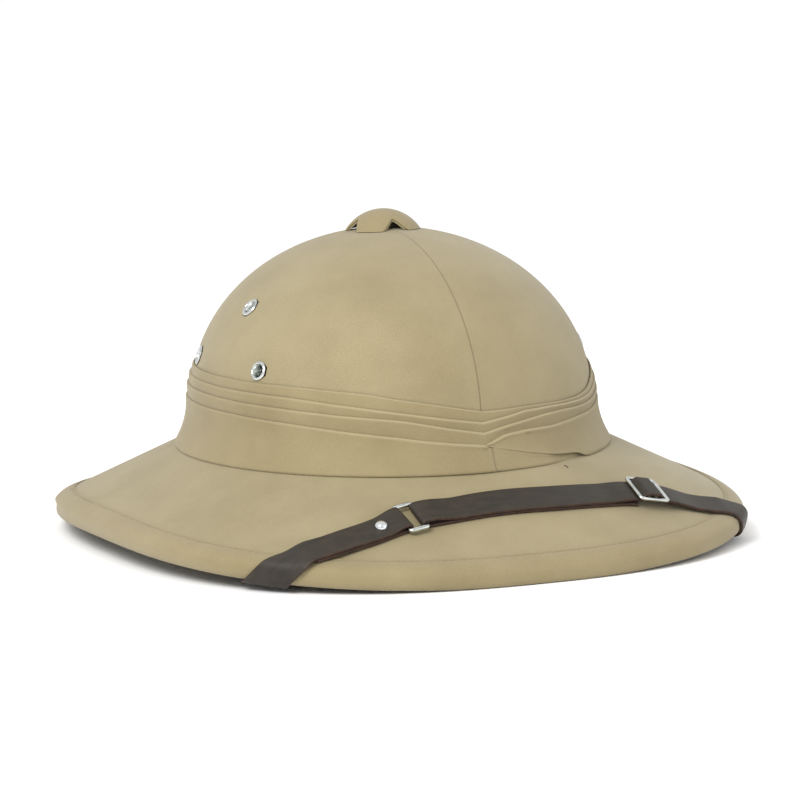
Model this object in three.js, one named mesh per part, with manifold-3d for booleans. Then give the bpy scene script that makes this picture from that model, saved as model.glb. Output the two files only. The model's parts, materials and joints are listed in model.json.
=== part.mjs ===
import * as THREE from 'three'
import { mergeVertices } from 'three/addons/utils/BufferGeometryUtils.js'
import Module from 'manifold-3d'

// A cloth-covered pith helmet, standing on its brim. Millimetres, +Z up, the front towards -Y and the
// wearer's left towards +X. The origin is the middle of the brim's outline on the surface that it stands on.

// Brim: its outline is a rounded oval, and it falls further at the front and back than at the sides.
const BRIM_LENGTH = 337
const BRIM_WIDTH = 303
const BRIM_ROUNDING = 2.55
const BRIM_FALL = 30.8
const BRIM_SADDLE = 4.6
const BRIM_BOARD = 3.3

// Turned hem round the brim's edge. Its underside is flattened where the helmet stands on it.
const HEM_DEPTH = 8
const HEM_ROLL = 6.5
const HEM_WIDTH = 9
const HEM_CLOTH = 0.8
const HEM_LAND = 0.8

// Crown: a low wall, then a dome, with a foot that spreads where it meets the brim.
const CROWN_LENGTH = 208
const CROWN_WIDTH = 186.4
const CROWN_WALL = 19.9
const CROWN_DOME = 81
const CROWN_ROUNDING = 2.03
const CROWN_SHELL = 3
const CROWN_SET_BACK = 3
const FOOT_SPREAD = 6.2
const FOOT_HEIGHT = 22

// Pleated band
const BAND_HEIGHT = 37.8
const BAND_CLOTH = 2
const BAND_FOOT_LIFT = 0.6
const BAND_BACK_SPLIT = 0.3
const BAND_CROSSING = 30

// Ventilator cap
const CAP_WIDTH = 35.6
const CAP_RISE = 8.8
const CAP_SKIRT = 1
const CAP_WALL = 1.8
const CAP_SET_BACK = 5.5
const CAP_ARCH_WIDTH = 13.6
const CAP_ARCH_HEIGHT = 4.9
const CAP_ARCHES = 4
const POST_DIAMETER = 6
const POST_COLLAR = 20
const POST_COLLAR_RISE = 3.4
const POST_HEAD = 14
const POST_HEAD_THICKNESS = 1.5

// Eyelets
const EYELET_FLANGE = 9.4
const EYELET_BORE = 5.6
const EYELET_METAL = 0.5
const EYELET_RISE = 1
const EYELET_ABOVE_BAND = 0.5
const EYELET_SPREAD = 25.6

// Chin strap and its metal
const STRAP_WIDTH = 15
const STRAP_LEATHER = 1.6
const STRAP_FLOAT = 0.4
const RING_AZIMUTH = -22.5
const RING_LENGTH = 11
const RING_BAR = 1.8
const SHORT_FOLD = 48
const SLIDER_AZIMUTH = 32.5
const SLIDER_LENGTH = 16.4
const SLIDER_BAR = 1.6
const METAL_PLAY = 1
const HEM_PLAY = 0.4
const RIVET_FROM_RING = 15.5
const RIVET_HEAD = 6
const RIVET_DOME = 2.5
const RIVET_SHANK = 2.6
const STUD_HEAD = 9
const STUD_RIM = 0.4
const STUD_DOME = 1.2
const STUD_TURN = 92
const STUD_HEIGHT = 19
const RIM_CROSSING = 66

// Clearances: between pieces, and behind what sits against the crown's faceted inside
const GAP = 0.3
const INSIDE_PLAY = 1

// How finely round forms are divided
const AROUND = 48
const ROUND_SIDES = 12
const STRAP_CELLS = 4

const { degToRad, clamp, lerp } = THREE.MathUtils
const UP = new THREE.Vector3(0, 0, 1)
const SEAT_HEIGHT = BRIM_FALL + BRIM_SADDLE + HEM_DEPTH - HEM_LAND
const HEM_RISE = GAP + HEM_CLOTH

// Each fold of the band: how high its upper edge runs at each azimuth from the front, as shares of
// BAND_HEIGHT. The foot column is the band's lower edge.
const RIGHT_FOLDS = [
  { azimuth: 0, first: 0.705, second: 0.57, third: 0.42, fourth: 0.28, foot: 0 },
  { azimuth: 15, first: 0.815, second: 0.665, third: 0.56, fourth: 0.37, foot: 0 },
  { azimuth: 22.5, first: 0.87, second: 0.715, third: 0.625, fourth: 0.415, foot: 0 },
  { azimuth: 37.5, first: 0.96, second: 0.8, third: 0.68, fourth: 0.49, foot: 0 },
  { azimuth: 60, first: 1, second: 0.875, third: 0.735, fourth: 0.57, foot: 0 },
  { azimuth: 90, first: 1, second: 0.885, third: 0.76, fourth: 0.6, foot: 0 },
  { azimuth: 180, first: 1, second: 0.885, third: 0.76, fourth: 0.6, foot: 0 },
]
const LEFT_FOLDS = [
  { azimuth: 0, first: 0.67, second: 0.55, third: 0.455, fourth: 0.325, foot: 0.28 },
  { azimuth: 7.5, first: 0.69, second: 0.61, third: 0.5, fourth: 0.4, foot: 0.2 },
  { azimuth: 15, first: 0.695, second: 0.655, third: 0.545, fourth: 0.42, foot: 0.13 },
  { azimuth: 22.5, first: 0.69, second: 0.655, third: 0.575, fourth: 0.42, foot: 0.075 },
  { azimuth: 30, first: 0.68, second: 0.645, third: 0.58, fourth: 0.435, foot: 0.045 },
  { azimuth: 37.5, first: 0.68, second: 0.64, third: 0.57, fourth: 0.45, foot: 0 },
  { azimuth: 45, first: 0.7, second: 0.65, third: 0.575, fourth: 0.46, foot: 0 },
  { azimuth: 60, first: 0.85, second: 0.75, third: 0.64, fourth: 0.52, foot: 0 },
  { azimuth: 75, first: 0.96, second: 0.85, third: 0.73, fourth: 0.57, foot: 0 },
  { azimuth: 90, first: 1, second: 0.885, third: 0.76, fourth: 0.6, foot: 0 },
  { azimuth: 180, first: 1, second: 0.885, third: 0.76, fourth: 0.6, foot: 0 },
]
// The band's face from its top edge down: level 4 is the first fold and 0 the foot. Out is a share
// of BAND_CLOTH.
const BAND_FACE = [
  { level: 4, out: 0.5 },
  { level: 3.1, out: 0.5 },
  { level: 3, out: 0.95 },
  { level: 2.1, out: 0.7 },
  { level: 2, out: 1.1 },
  { level: 1.1, out: 0.8 },
  { level: 1, out: 1.1 },
  { level: 0.6, out: 0.95 },
  { level: 0.3, out: 0.95 },
  { level: 0, out: 1 },
]
// Where the strap lies on the brim: azimuth from the front, and reach from the crown (0) to the edge (1).
const STRAP_ROUTE = [
  { azimuth: -43.3, reach: 1 },
  { azimuth: -39.8, reach: 0.89 },
  { azimuth: -35.8, reach: 0.765 },
  { azimuth: -31.2, reach: 0.65 },
  { azimuth: -22.7, reach: 0.478 },
  { azimuth: -10, reach: 0.38 },
  { azimuth: 0, reach: 0.352 },
  { azimuth: 10, reach: 0.368 },
  { azimuth: 20, reach: 0.405 },
  { azimuth: 29, reach: 0.475 },
  { azimuth: 38, reach: 0.635 },
  { azimuth: 44.5, reach: 0.81 },
  { azimuth: 49.4, reach: 1 },
]
// The hem's rolled face: inboard from the brim's edge as a share of HEM_WIDTH, and level from the
// brim's top as a share of HEM_DEPTH.
const HEM_ROLL_SECTION = [
  { inboard: 0.14, level: 0.08 },
  { inboard: 0.03, level: -0.05 },
  { inboard: 0, level: -0.2 },
  { inboard: 0.03, level: -0.5 },
  { inboard: 0.13, level: -0.84 },
  { inboard: 0.3, level: -1 },
]
// Three eyelets on each side: the middle of the three from the front, then each one's turn from there
// and its rise as a share of EYELET_SPREAD. The left three sit a little further back.
const EYELET_SIDES = [
  { name: 'right', sign: -1, middle: 87 },
  { name: 'left', sign: 1, middle: 94 },
]
const EYELET_ROWS = [
  { name: 'top', turn: -3, rise: 1 },
  { name: 'front', turn: -19.4, rise: 0 },
  { name: 'rear', turn: 19, rise: 0 },
]
// The strap round the hem: inboard from the edge as a share of HEM_WIDTH, level from the brim's
// top as a share of HEM_DEPTH, and the tilt of the strap's face above level in degrees.
const STRAP_WRAP = [
  { inboard: 0.4, level: 0.39, tilt: 63 },
  { inboard: 0.16, level: 0.23, tilt: 48 },
  { inboard: 0.03, level: 0.03, tilt: 20 },
  { inboard: -0.01, level: -0.2, tilt: 3 },
  { inboard: 0.03, level: -0.5, tilt: -7 },
  { inboard: 0.12, level: -0.84, tilt: -25 },
  { inboard: 0.28, level: -1, tilt: -55 },
  { inboard: 0.5, level: -1.05, tilt: -80 },
  { inboard: 0.9, level: -1.05, tilt: -88 },
]

// Materials
const CLOTH = { color: 0xb4a682, roughness: 0.9, metalness: 0 }
const LEATHER = { color: 0x4b443e, roughness: 0.45, metalness: 0 }
const NICKEL = { color: 0xc9cac8, roughness: 0.25, metalness: 1 }

// Crown surface
function domeShare(z) {
  const rise = clamp((z - CROWN_WALL) / CROWN_DOME, 0, 1)
  return (1 - rise ** CROWN_ROUNDING) ** (1 / CROWN_ROUNDING)
}

function footSpread(z) {
  return FOOT_SPREAD * clamp(1 - z / FOOT_HEIGHT, 0, 1) ** 2
}

function crownRadius(z) {
  return CROWN_WIDTH / 2 * domeShare(z) + footSpread(z)
}

function lengthRatio(z) {
  return (CROWN_LENGTH / 2 + footSpread(z)) / (CROWN_WIDTH / 2 + footSpread(z))
}

function crownPoint(turn, z, out = 0) {
  const radius = crownRadius(z) + out
  const y = CROWN_SET_BACK - radius * lengthRatio(z) * Math.cos(turn)
  return new THREE.Vector3(radius * Math.sin(turn), y, SEAT_HEIGHT + z)
}

function crownNormal(turn, z) {
  const step = 0.01
  const along = crownPoint(turn + step, z).sub(crownPoint(turn - step, z))
  const rise = crownPoint(turn, z + step).sub(crownPoint(turn, z - step))
  return along.cross(rise).normalize()
}

function crownHeightAt(x, y) {
  const share = Math.hypot(x / (CROWN_WIDTH / 2), (y - CROWN_SET_BACK) / (CROWN_LENGTH / 2))
  const rise = (1 - Math.min(share, 1) ** CROWN_ROUNDING) ** (1 / CROWN_ROUNDING)
  return SEAT_HEIGHT + CROWN_WALL + CROWN_DOME * rise
}

// Brim surface: reach runs from the crown's foot (0) to the edge (1).
function brimFoot(turn) {
  const foot = crownPoint(turn, 0, GAP)
  return new THREE.Vector2(foot.x, foot.y)
}

function brimEdge(turn) {
  const c = Math.cos(turn)
  const s = Math.sin(turn)
  const size = (Math.abs(c) ** BRIM_ROUNDING + Math.abs(s) ** BRIM_ROUNDING) ** (-1 / BRIM_ROUNDING)
  return new THREE.Vector2(BRIM_WIDTH / 2 * s * size, -BRIM_LENGTH / 2 * c * size)
}

function brimOverhang(turn) {
  return brimEdge(turn).distanceTo(brimFoot(turn))
}

function brimFall(turn) {
  return BRIM_FALL + BRIM_SADDLE * Math.cos(2 * turn)
}

function brimPoint(turn, reach) {
  const plan = brimFoot(turn).lerp(brimEdge(turn), reach)
  return new THREE.Vector3(plan.x, plan.y, SEAT_HEIGHT - reach * brimFall(turn))
}

function brimNormal(turn, reach) {
  const step = 0.002
  const along = brimPoint(turn + step, reach).sub(brimPoint(turn - step, reach))
  const outward = brimPoint(turn, reach + step).sub(brimPoint(turn, reach - step))
  return outward.cross(along).normalize()
}

// Solids
function isInsideOut(geometry) {
  const { position } = geometry.attributes
  const corners = [new THREE.Vector3(), new THREE.Vector3(), new THREE.Vector3()]
  let volume = 0
  for (let i = 0; i < geometry.index.count; i += 3) {
    corners.forEach((corner, k) => corner.fromBufferAttribute(position, geometry.index.getX(i + k)))
    volume += corners[0].dot(corners[1].cross(corners[2]))
  }
  return volume < 0
}

function closed(source) {
  const bare = source.clone()
  bare.deleteAttribute('normal')
  bare.deleteAttribute('uv')
  const merged = mergeVertices(bare, 1e-4)
  const kept = []
  for (let i = 0; i < merged.index.count; i += 3) {
    const [a, b, c] = [0, 1, 2].map((k) => merged.index.getX(i + k))
    if (a !== b && b !== c && c !== a) kept.push(a, b, c)
  }
  merged.setIndex(kept)
  if (isInsideOut(merged)) merged.setIndex(kept.reverse())
  return merged
}

function reshape(source, place) {
  const moved = source.clone()
  const { position } = moved.attributes
  const point = new THREE.Vector3()
  for (let i = 0; i < position.count; i += 1) {
    const { x, y, z } = place(point.fromBufferAttribute(position, i))
    position.setXYZ(i, x, y, z)
  }
  return closed(moved)
}

function toManifold(geometry) {
  const { position } = geometry.attributes
  return new wasm.Manifold(new wasm.Mesh({
    numProp: 3,
    vertProperties: new Float32Array(position.array),
    triVerts: new Uint32Array(geometry.index.array),
  }))
}

function cut(body, tools) {
  let solid = toManifold(body)
  for (const tool of tools) solid = solid.subtract(toManifold(tool))
  const mesh = solid.getMesh()
  const geometry = new THREE.BufferGeometry()
  geometry.setAttribute('position', new THREE.BufferAttribute(new Float32Array(mesh.vertProperties), 3))
  geometry.setIndex([...mesh.triVerts])
  return geometry
}

function lathe(rows, sides) {
  return new THREE.LatheGeometry(rows.map(([x, y]) => new THREE.Vector2(x, y)), sides)
}

// A round tool or pin along a frame's normal, from one depth to another.
function pinAlong(frame, diameter, low, high) {
  const pin = new THREE.CylinderGeometry(diameter / 2, diameter / 2, high - low, ROUND_SIDES)
  pin.rotateX(Math.PI / 2)
  pin.translate(0, 0, (low + high) / 2)
  pin.applyMatrix4(frameMatrix(frame))
  return closed(pin)
}

function frameMatrix({ point, normal, along }) {
  const across = normal.clone().cross(along)
  return new THREE.Matrix4().makeBasis(along, across, normal).setPosition(point)
}

function surfaceFrame(point, normal) {
  const along = new THREE.Vector3(-normal.y, normal.x, 0)
  if (along.lengthSq() < 1e-6) along.set(1, 0, 0)
  along.normalize()
  return { point, normal, along: along.cross(normal).cross(normal).negate().normalize() }
}

function named(name, geometry, material) {
  geometry.computeVertexNormals()
  const mesh = new THREE.Mesh(geometry, new THREE.MeshStandardMaterial(material))
  mesh.name = name
  return mesh
}

function placed(mesh, frame) {
  frameMatrix(frame).decompose(mesh.position, mesh.quaternion, mesh.scale)
  return mesh
}

// Crown
function crownProfile() {
  const footShares = [0.78, 0.55, 0.33, 0.15, 0]
  const innerShares = [0.5, 0]
  const dome = (inset, steps) => Array.from({ length: steps + 1 }, (_, i) => {
    const angle = (1 - i / steps) * Math.PI / 2
    const rise = Math.sin(angle) ** (2 / CROWN_ROUNDING)
    const share = i ? Math.cos(angle) ** (2 / CROWN_ROUNDING) : 0
    const spread = footSpread(CROWN_WALL + CROWN_DOME * rise)
    return [(CROWN_WIDTH / 2 - inset) * share + spread, CROWN_WALL + (CROWN_DOME - inset) * rise]
  })
  const foot = (inset, shares) => shares.map((share) => {
    const z = share * CROWN_WALL
    return [crownRadius(z) - inset, z]
  })
  const low = (inset) => [crownRadius(0) - inset, -BRIM_BOARD]
  const inside = [...dome(CROWN_SHELL, 6), ...foot(CROWN_SHELL, innerShares), low(CROWN_SHELL)].reverse()
  return [...dome(0, 8), ...foot(0, footShares), low(0), ...inside]
}

function eyeletFrames() {
  const low = BAND_HEIGHT + BAND_FOOT_LIFT + EYELET_ABOVE_BAND + EYELET_FLANGE / 2
  return EYELET_SIDES.flatMap(({ name, sign, middle }) => EYELET_ROWS.map((row) => {
    const turn = sign * degToRad(middle + row.turn)
    const height = low + row.rise * EYELET_SPREAD
    const frame = surfaceFrame(crownPoint(turn, height), crownNormal(turn, height))
    return { name: `eyelet_${name}_${row.name}`, frame }
  }))
}

function capFrame() {
  const y = CROWN_SET_BACK + CAP_SET_BACK
  const step = 0.5
  const fall = (crownHeightAt(0, y + step) - crownHeightAt(0, y - step)) / (2 * step)
  const normal = new THREE.Vector3(0, -fall, 1).normalize()
  return { point: new THREE.Vector3(0, y, crownHeightAt(0, y)), normal, along: new THREE.Vector3(1, 0, 0) }
}

function studFrame(sign) {
  const turn = sign * degToRad(STUD_TURN)
  const outside = crownNormal(turn, STUD_HEIGHT)
  outside.z = 0
  return surfaceFrame(crownPoint(turn, STUD_HEIGHT, -CROWN_SHELL), outside.normalize().negate())
}

function crownMesh(frames) {
  const shell = reshape(lathe(crownProfile(), AROUND), ({ x, y, z }) => (
    new THREE.Vector3(x, CROWN_SET_BACK - z * lengthRatio(y), SEAT_HEIGHT + y)
  ))
  const reach = CROWN_SHELL * 2
  const eyeletHole = EYELET_BORE + 2 * (EYELET_METAL + GAP)
  const tools = [
    ...frames.eyelets.map(({ frame }) => pinAlong(frame, eyeletHole, -reach, reach)),
    pinAlong(frames.cap, POST_DIAMETER + 2 * GAP, -reach, reach),
    ...frames.studs.map((frame) => pinAlong(frame, RIVET_SHANK + 2 * GAP, -reach, reach)),
  ]
  return named('crown', cut(shell, tools), CLOTH)
}

// Brim board
function brimMesh() {
  const steps = 2
  const shares = Array.from({ length: steps + 1 }, (_, i) => i / steps)
  const top = shares.map((share) => [1 + share, 0])
  const under = shares.map((share) => [1 + share, -BRIM_BOARD]).reverse()
  const ring = reshape(lathe([...top, ...under, top[0]], AROUND), ({ x, y, z }) => {
    const turn = Math.atan2(x, z)
    const widest = 1 - (HEM_ROLL + GAP) / brimOverhang(turn)
    const place = brimPoint(turn, (Math.hypot(x, z) - 1) * widest)
    place.z += y
    return place
  })
  return named('brim', ring, CLOTH)
}

// Hem: a roll at the edge and a flap of cloth on the board, with a slot that takes the board.
function hemMesh() {
  const roll = HEM_ROLL_SECTION.map((row) => [row.inboard * HEM_WIDTH, row.level * HEM_DEPTH])
  const section = [
    [HEM_WIDTH, GAP],
    [HEM_WIDTH, HEM_RISE],
    [HEM_WIDTH * 0.36, HEM_RISE],
    ...roll,
    [HEM_ROLL, -HEM_DEPTH],
    [HEM_ROLL + HEM_CLOTH, -BRIM_BOARD - GAP - HEM_CLOTH],
    [HEM_ROLL + HEM_CLOTH, -BRIM_BOARD - GAP],
    [HEM_ROLL, -BRIM_BOARD - GAP],
    [HEM_ROLL, GAP],
  ]
  const far = 100
  const profile = [...section, section[0]].map(([inboard, level]) => [far - inboard, level])
  const ring = reshape(lathe(profile, AROUND), ({ x, y, z }) => {
    const turn = Math.atan2(x, z)
    const inboard = far - Math.hypot(x, z)
    const place = brimPoint(turn, 1 - inboard / brimOverhang(turn))
    const edge = brimPoint(turn, 1)
    const follow = clamp((y + HEM_DEPTH) / (HEM_DEPTH - BRIM_BOARD - HEM_RISE), 0, 1)
    place.z = Math.max(lerp(edge.z, place.z, follow) + y, 0)
    return place
  })
  return named('brim_binding', ring, CLOTH)
}

// Pleated band
function foldHeight(table, azimuth, level) {
  const last = table.findIndex((row) => row.azimuth >= azimuth)
  const b = table[Math.max(last, 1)]
  const a = table[Math.max(last, 1) - 1]
  const share = clamp((azimuth - a.azimuth) / (b.azimuth - a.azimuth), 0, 1)
  const names = ['foot', 'fourth', 'third', 'second', 'first']
  const below = Math.min(Math.floor(level), 3)
  const at = (name) => lerp(a[name], b[name], share)
  return BAND_HEIGHT * lerp(at(names[below]), at(names[below + 1]), level - below)
}

function bandSection() {
  const inside = [0, 0.3, 0.65, 1, 2.5, 4]
  const shape = new THREE.Shape()
  inside.forEach((level, i) => (i ? shape.lineTo(0, level) : shape.moveTo(0, level)))
  BAND_FACE.forEach(({ level, out }) => shape.lineTo(out * BAND_CLOTH, level))
  return shape
}

function bandHalf(turns, heightAt) {
  const steps = turns.length - 1
  const bar = new THREE.ExtrudeGeometry(bandSection(), { depth: steps, steps, bevelEnabled: false })
  return reshape(bar, ({ x, y, z }) => {
    const azimuth = turns[Math.round(z)]
    const height = heightAt(azimuth, y) + BAND_FOOT_LIFT
    return crownPoint(degToRad(azimuth), height, GAP + x)
  })
}

function turnsBetween(marks, step) {
  return marks.slice(1).reduce((turns, mark) => {
    const from = turns[turns.length - 1]
    const count = Math.max(Math.round((mark - from) / step), 1)
    return [...turns, ...Array.from({ length: count }, (_, i) => lerp(from, mark, (i + 1) / count))]
  }, [marks[0]])
}

function bandMeshes() {
  const step = 360 / AROUND
  const back = 180 - BAND_BACK_SPLIT
  const tailGap = GAP / BAND_HEIGHT
  const start = 0.4
  const rightHeight = (azimuth, level) => {
    if (azimuth <= 0) return foldHeight(RIGHT_FOLDS, -azimuth, level)
    const ceiling = foldHeight(LEFT_FOLDS, azimuth, 0) / BAND_HEIGHT - tailGap
    return BAND_HEIGHT * Math.max(ceiling, tailGap) * level / 4
  }
  const leftHeight = (azimuth, level) => foldHeight(LEFT_FOLDS, azimuth, level)
  const right = bandHalf(turnsBetween([-back, step - 180, 0, start, step, BAND_CROSSING], step), rightHeight)
  const left = bandHalf(turnsBetween([2 * start, step, BAND_CROSSING, back], step), leftHeight)
  return [named('puggaree_right', right, CLOTH), named('puggaree_left', left, CLOTH)]
}

// Ventilator cap and its post
function capMeshes(frame) {
  const radius = CAP_WIDTH / 2
  const drop = CAP_RISE + CAP_SKIRT
  const sphere = (radius ** 2 + drop ** 2) / (2 * drop)
  const centre = CAP_RISE - sphere
  const rings = 5
  const arc = (size) => Array.from({ length: rings + 1 }, (_, i) => {
    const angle = i / rings * Math.asin(radius / sphere)
    return [i ? size * Math.sin(angle) : 0, centre + size * Math.cos(angle)]
  })
  const profile = [...arc(sphere), ...arc(sphere - CAP_WALL).reverse()]
  const dome = lathe(profile, CAP_ARCHES * 8)
  dome.rotateX(Math.PI / 2)
  const mouth = new THREE.Shape([
    new THREE.Vector2(-CAP_ARCH_WIDTH / 2, -CAP_SKIRT * 3),
    new THREE.Vector2(-CAP_ARCH_WIDTH / 2, -CAP_SKIRT),
    new THREE.Vector2(-CAP_ARCH_WIDTH / 30, CAP_ARCH_HEIGHT),
    new THREE.Vector2(CAP_ARCH_WIDTH / 30, CAP_ARCH_HEIGHT),
    new THREE.Vector2(CAP_ARCH_WIDTH / 2, -CAP_SKIRT),
    new THREE.Vector2(CAP_ARCH_WIDTH / 2, -CAP_SKIRT * 3),
  ])
  const arches = Array.from({ length: CAP_ARCHES }, (_, i) => {
    const wedge = new THREE.ExtrudeGeometry(mouth, { depth: radius, bevelEnabled: false })
    wedge.translate(0, 0, radius * 0.4)
    wedge.rotateX(Math.PI / 2)
    wedge.rotateZ(i / CAP_ARCHES * Math.PI * 2)
    return closed(wedge)
  })
  const matrix = frameMatrix(frame)
  const seated = reshape(cut(closed(dome), arches), (point) => {
    const place = point.clone().applyMatrix4(matrix)
    place.z = Math.max(place.z, crownHeightAt(place.x, place.y) + GAP)
    return place
  })
  const top = CAP_RISE - CAP_WALL - GAP
  const under = -CROWN_SHELL - INSIDE_PLAY
  const post = lathe([
    [0, top],
    [POST_DIAMETER / 2, top - 1],
    [POST_DIAMETER / 2, POST_COLLAR_RISE],
    [POST_COLLAR / 2, POST_COLLAR_RISE],
    [POST_COLLAR / 2, 2 * GAP],
    [POST_DIAMETER / 2, 2 * GAP],
    [POST_DIAMETER / 2, under],
    [POST_HEAD / 2, under],
    [POST_HEAD / 2, under - POST_HEAD_THICKNESS],
    [0, under - POST_HEAD_THICKNESS],
  ], ROUND_SIDES)
  post.rotateX(Math.PI / 2)
  return [named('vent_cap', seated, CLOTH), placed(named('vent_cap_post', closed(post), NICKEL), frame)]
}

// Eyelets: a rounded flange outside, a barrel through the shell and a washer inside.
function eyeletMesh({ name, frame }) {
  const bore = EYELET_BORE / 2
  const barrel = bore + EYELET_METAL
  const flange = EYELET_FLANGE / 2
  const inside = -CROWN_SHELL - INSIDE_PLAY
  const profile = [
    [bore, inside - EYELET_METAL],
    [bore, EYELET_RISE * 0.6],
    [lerp(barrel, flange, 0.4), EYELET_RISE],
    [flange, 1.5 * GAP],
    [barrel, 1.5 * GAP],
    [barrel, inside],
    [flange, inside],
    [flange, inside - EYELET_METAL],
    [bore, inside - EYELET_METAL],
  ]
  const ring = lathe(profile, ROUND_SIDES)
  ring.rotateX(Math.PI / 2)
  return placed(named(name, closed(ring), NICKEL), frame)
}

// The strap's track is a row of ribs from the right stud to the left one. Each rib holds points across
// the strap's width on the hat's surface, with the direction away from the hat at each.
const RIB_PLACES = Array.from({ length: STRAP_CELLS + 1 }, (_, i) => (i / STRAP_CELLS - 0.5) * STRAP_WIDTH)

function straightRib({ point, normal, along }) {
  const across = normal.clone().cross(along).normalize()
  return RIB_PLACES.map((place) => ({ point: point.clone().addScaledVector(across, place), normal }))
}

function smooth(low, high, share) {
  const s = clamp(share, 0, 1)
  return lerp(low, high, s * s * (3 - 2 * s))
}

// Ribs over the brim. They climb onto the hem's flap near the edge.
function routeRibs() {
  const steps = 20
  const climbing = HEM_WIDTH * 2.5
  const plan = STRAP_ROUTE.map(({ azimuth, reach }) => new THREE.Vector2(degToRad(azimuth), reach))
  const curve = new THREE.SplineCurve(plan)
  const frames = curve.getPoints(steps).map(({ x: turn, y: reach }) => {
    const normal = brimNormal(turn, reach)
    const inboard = (1 - reach) * brimOverhang(turn)
    const climb = smooth(HEM_RISE + HEM_PLAY, 0, (inboard - HEM_WIDTH) / climbing)
    return { point: brimPoint(turn, reach).addScaledVector(normal, climb), normal, inboard, turn }
  })
  frames.forEach((frame, i) => {
    const next = frames[Math.min(i + 1, steps)].point
    frame.along = next.clone().sub(frames[Math.max(i - 1, 0)].point).normalize()
  })
  return frames
}

// The hem's surface laid out flat: v is measured from the brim's edge, down its face and back under it.
function wrapSection(v) {
  const rows = STRAP_WRAP.map(({ inboard, level, tilt }) => ({
    out: -inboard * HEM_WIDTH,
    up: level * HEM_DEPTH,
    tilt: degToRad(tilt),
  }))
  let left = v - rows[0].out / Math.sin(rows[0].tilt)
  if (left <= 0) {
    const { out, up, tilt } = rows[0]
    return { out: out + left * Math.sin(tilt), up: up - left * Math.cos(tilt), tilt }
  }
  for (let i = 1; i < rows.length; i += 1) {
    const [a, b] = [rows[i - 1], rows[i]]
    const length = Math.hypot(b.out - a.out, b.up - a.up)
    if (left <= length) {
      const share = left / length
      return { out: lerp(a.out, b.out, share), up: lerp(a.up, b.up, share), tilt: lerp(a.tilt, b.tilt, share) }
    }
    left -= length
  }
  const { out, up, tilt } = rows.at(-1)
  return { out: out - left, up, tilt }
}

// Ribs round the hem: the strap keeps its slanting course on the flattened surface.
function wrapRibs(route, sign) {
  const azimuth = degToRad(sign < 0 ? STRAP_ROUTE[0].azimuth : STRAP_ROUTE.at(-1).azimuth)
  const step = 0.01
  const edgeAt = (turn) => brimPoint(turn, 1)
  const speed = edgeAt(azimuth + step).distanceTo(edgeAt(azimuth - step)) / (2 * step)
  const outwardAt = (turn) => {
    const edgeAlong = edgeAt(turn + step).sub(edgeAt(turn - step)).setZ(0).normalize()
    return new THREE.Vector3(edgeAlong.y, -edgeAlong.x, 0)
  }
  const outward = outwardAt(azimuth)
  const slope = wrapSection(-HEM_WIDTH).tilt
  const downhill = outward.clone().multiplyScalar(Math.sin(slope)).addScaledVector(UP, -Math.cos(slope))
  const edgeAlong = edgeAt(azimuth + step).sub(edgeAt(azimuth - step)).normalize()
  const heading = route.along.clone().multiplyScalar(sign)
  const slant = Math.atan2(heading.dot(edgeAlong), heading.dot(downhill))
  const from = -HEM_WIDTH
  const to = HEM_DEPTH + HEM_WIDTH * 1.1
  const count = 12
  return Array.from({ length: count + 1 }, (_, i) => {
    const course = lerp(from, to, i / count) / Math.cos(slant)
    return RIB_PLACES.map((place) => {
      const u = course * Math.sin(slant) + sign * place * Math.cos(slant)
      const v = course * Math.cos(slant) - sign * place * Math.sin(slant)
      const turn = azimuth + u / speed
      const { out, up, tilt } = wrapSection(v)
      const side = outwardAt(turn)
      const normal = side.clone().multiplyScalar(Math.cos(tilt)).addScaledVector(UP, Math.sin(tilt))
      const point = edgeAt(turn).addScaledVector(side, out).addScaledVector(UP, up)
      return { point: point.addScaledVector(normal, HEM_PLAY), normal }
    })
  })
}

// Ribs inside the crown: under its foot, at the stud and at the strap's end.
function insideRibs(from, sign) {
  const inward = (point) => new THREE.Vector3(-point.x, CROWN_SET_BACK - point.y, 0).normalize()
  const rim = crownPoint(sign * degToRad(RIM_CROSSING), 0, -CROWN_SHELL)
  rim.z -= BRIM_BOARD
  const under = inward(rim).multiplyScalar(0.8).addScaledVector(UP, -0.6)
  const stud = studFrame(sign)
  const endTurn = sign * degToRad(STUD_TURN + 7)
  const end = crownPoint(endTurn, STUD_HEIGHT + STRAP_WIDTH * 0.1, -CROWN_SHELL)
  const places = [
    { point: rim.addScaledVector(under, GAP * 6), normal: under },
    { point: stud.point.clone().addScaledVector(stud.normal, INSIDE_PLAY), normal: stud.normal.clone() },
    { point: end.addScaledVector(inward(end), INSIDE_PLAY), normal: inward(end) },
  ]
  return places.map(({ point, normal }, i) => {
    const previous = i ? places[i - 1].point : from
    const next = places[Math.min(i + 1, places.length - 1)].point
    const along = next.clone().sub(previous).multiplyScalar(sign)
    along.addScaledVector(normal, -along.dot(normal)).normalize()
    return straightRib({ point, normal, along })
  })
}

function strapTrack() {
  const route = routeRibs()
  const open = route.filter(({ inboard }) => inboard > HEM_WIDTH + STRAP_WIDTH * 0.3)
  const middle = STRAP_CELLS / 2
  const ends = [-1, 1].map((sign) => {
    const wrap = wrapRibs(sign < 0 ? route[0] : route.at(-1), sign)
    return [...wrap, ...insideRibs(wrap.at(-1)[middle].point, sign)]
  })
  const rows = [...ends[0].reverse(), ...open.map(straightRib), ...ends[1]]
  let length = 0
  const ribs = rows.map((places, i) => {
    if (i) length += places[middle].point.distanceTo(rows[i - 1][middle].point)
    return { places, at: length }
  })
  const marks = open.map(({ turn }, i) => ({ turn, at: ribs[ends[0].length + i].at }))
  return { ribs, marks, length }
}

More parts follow.
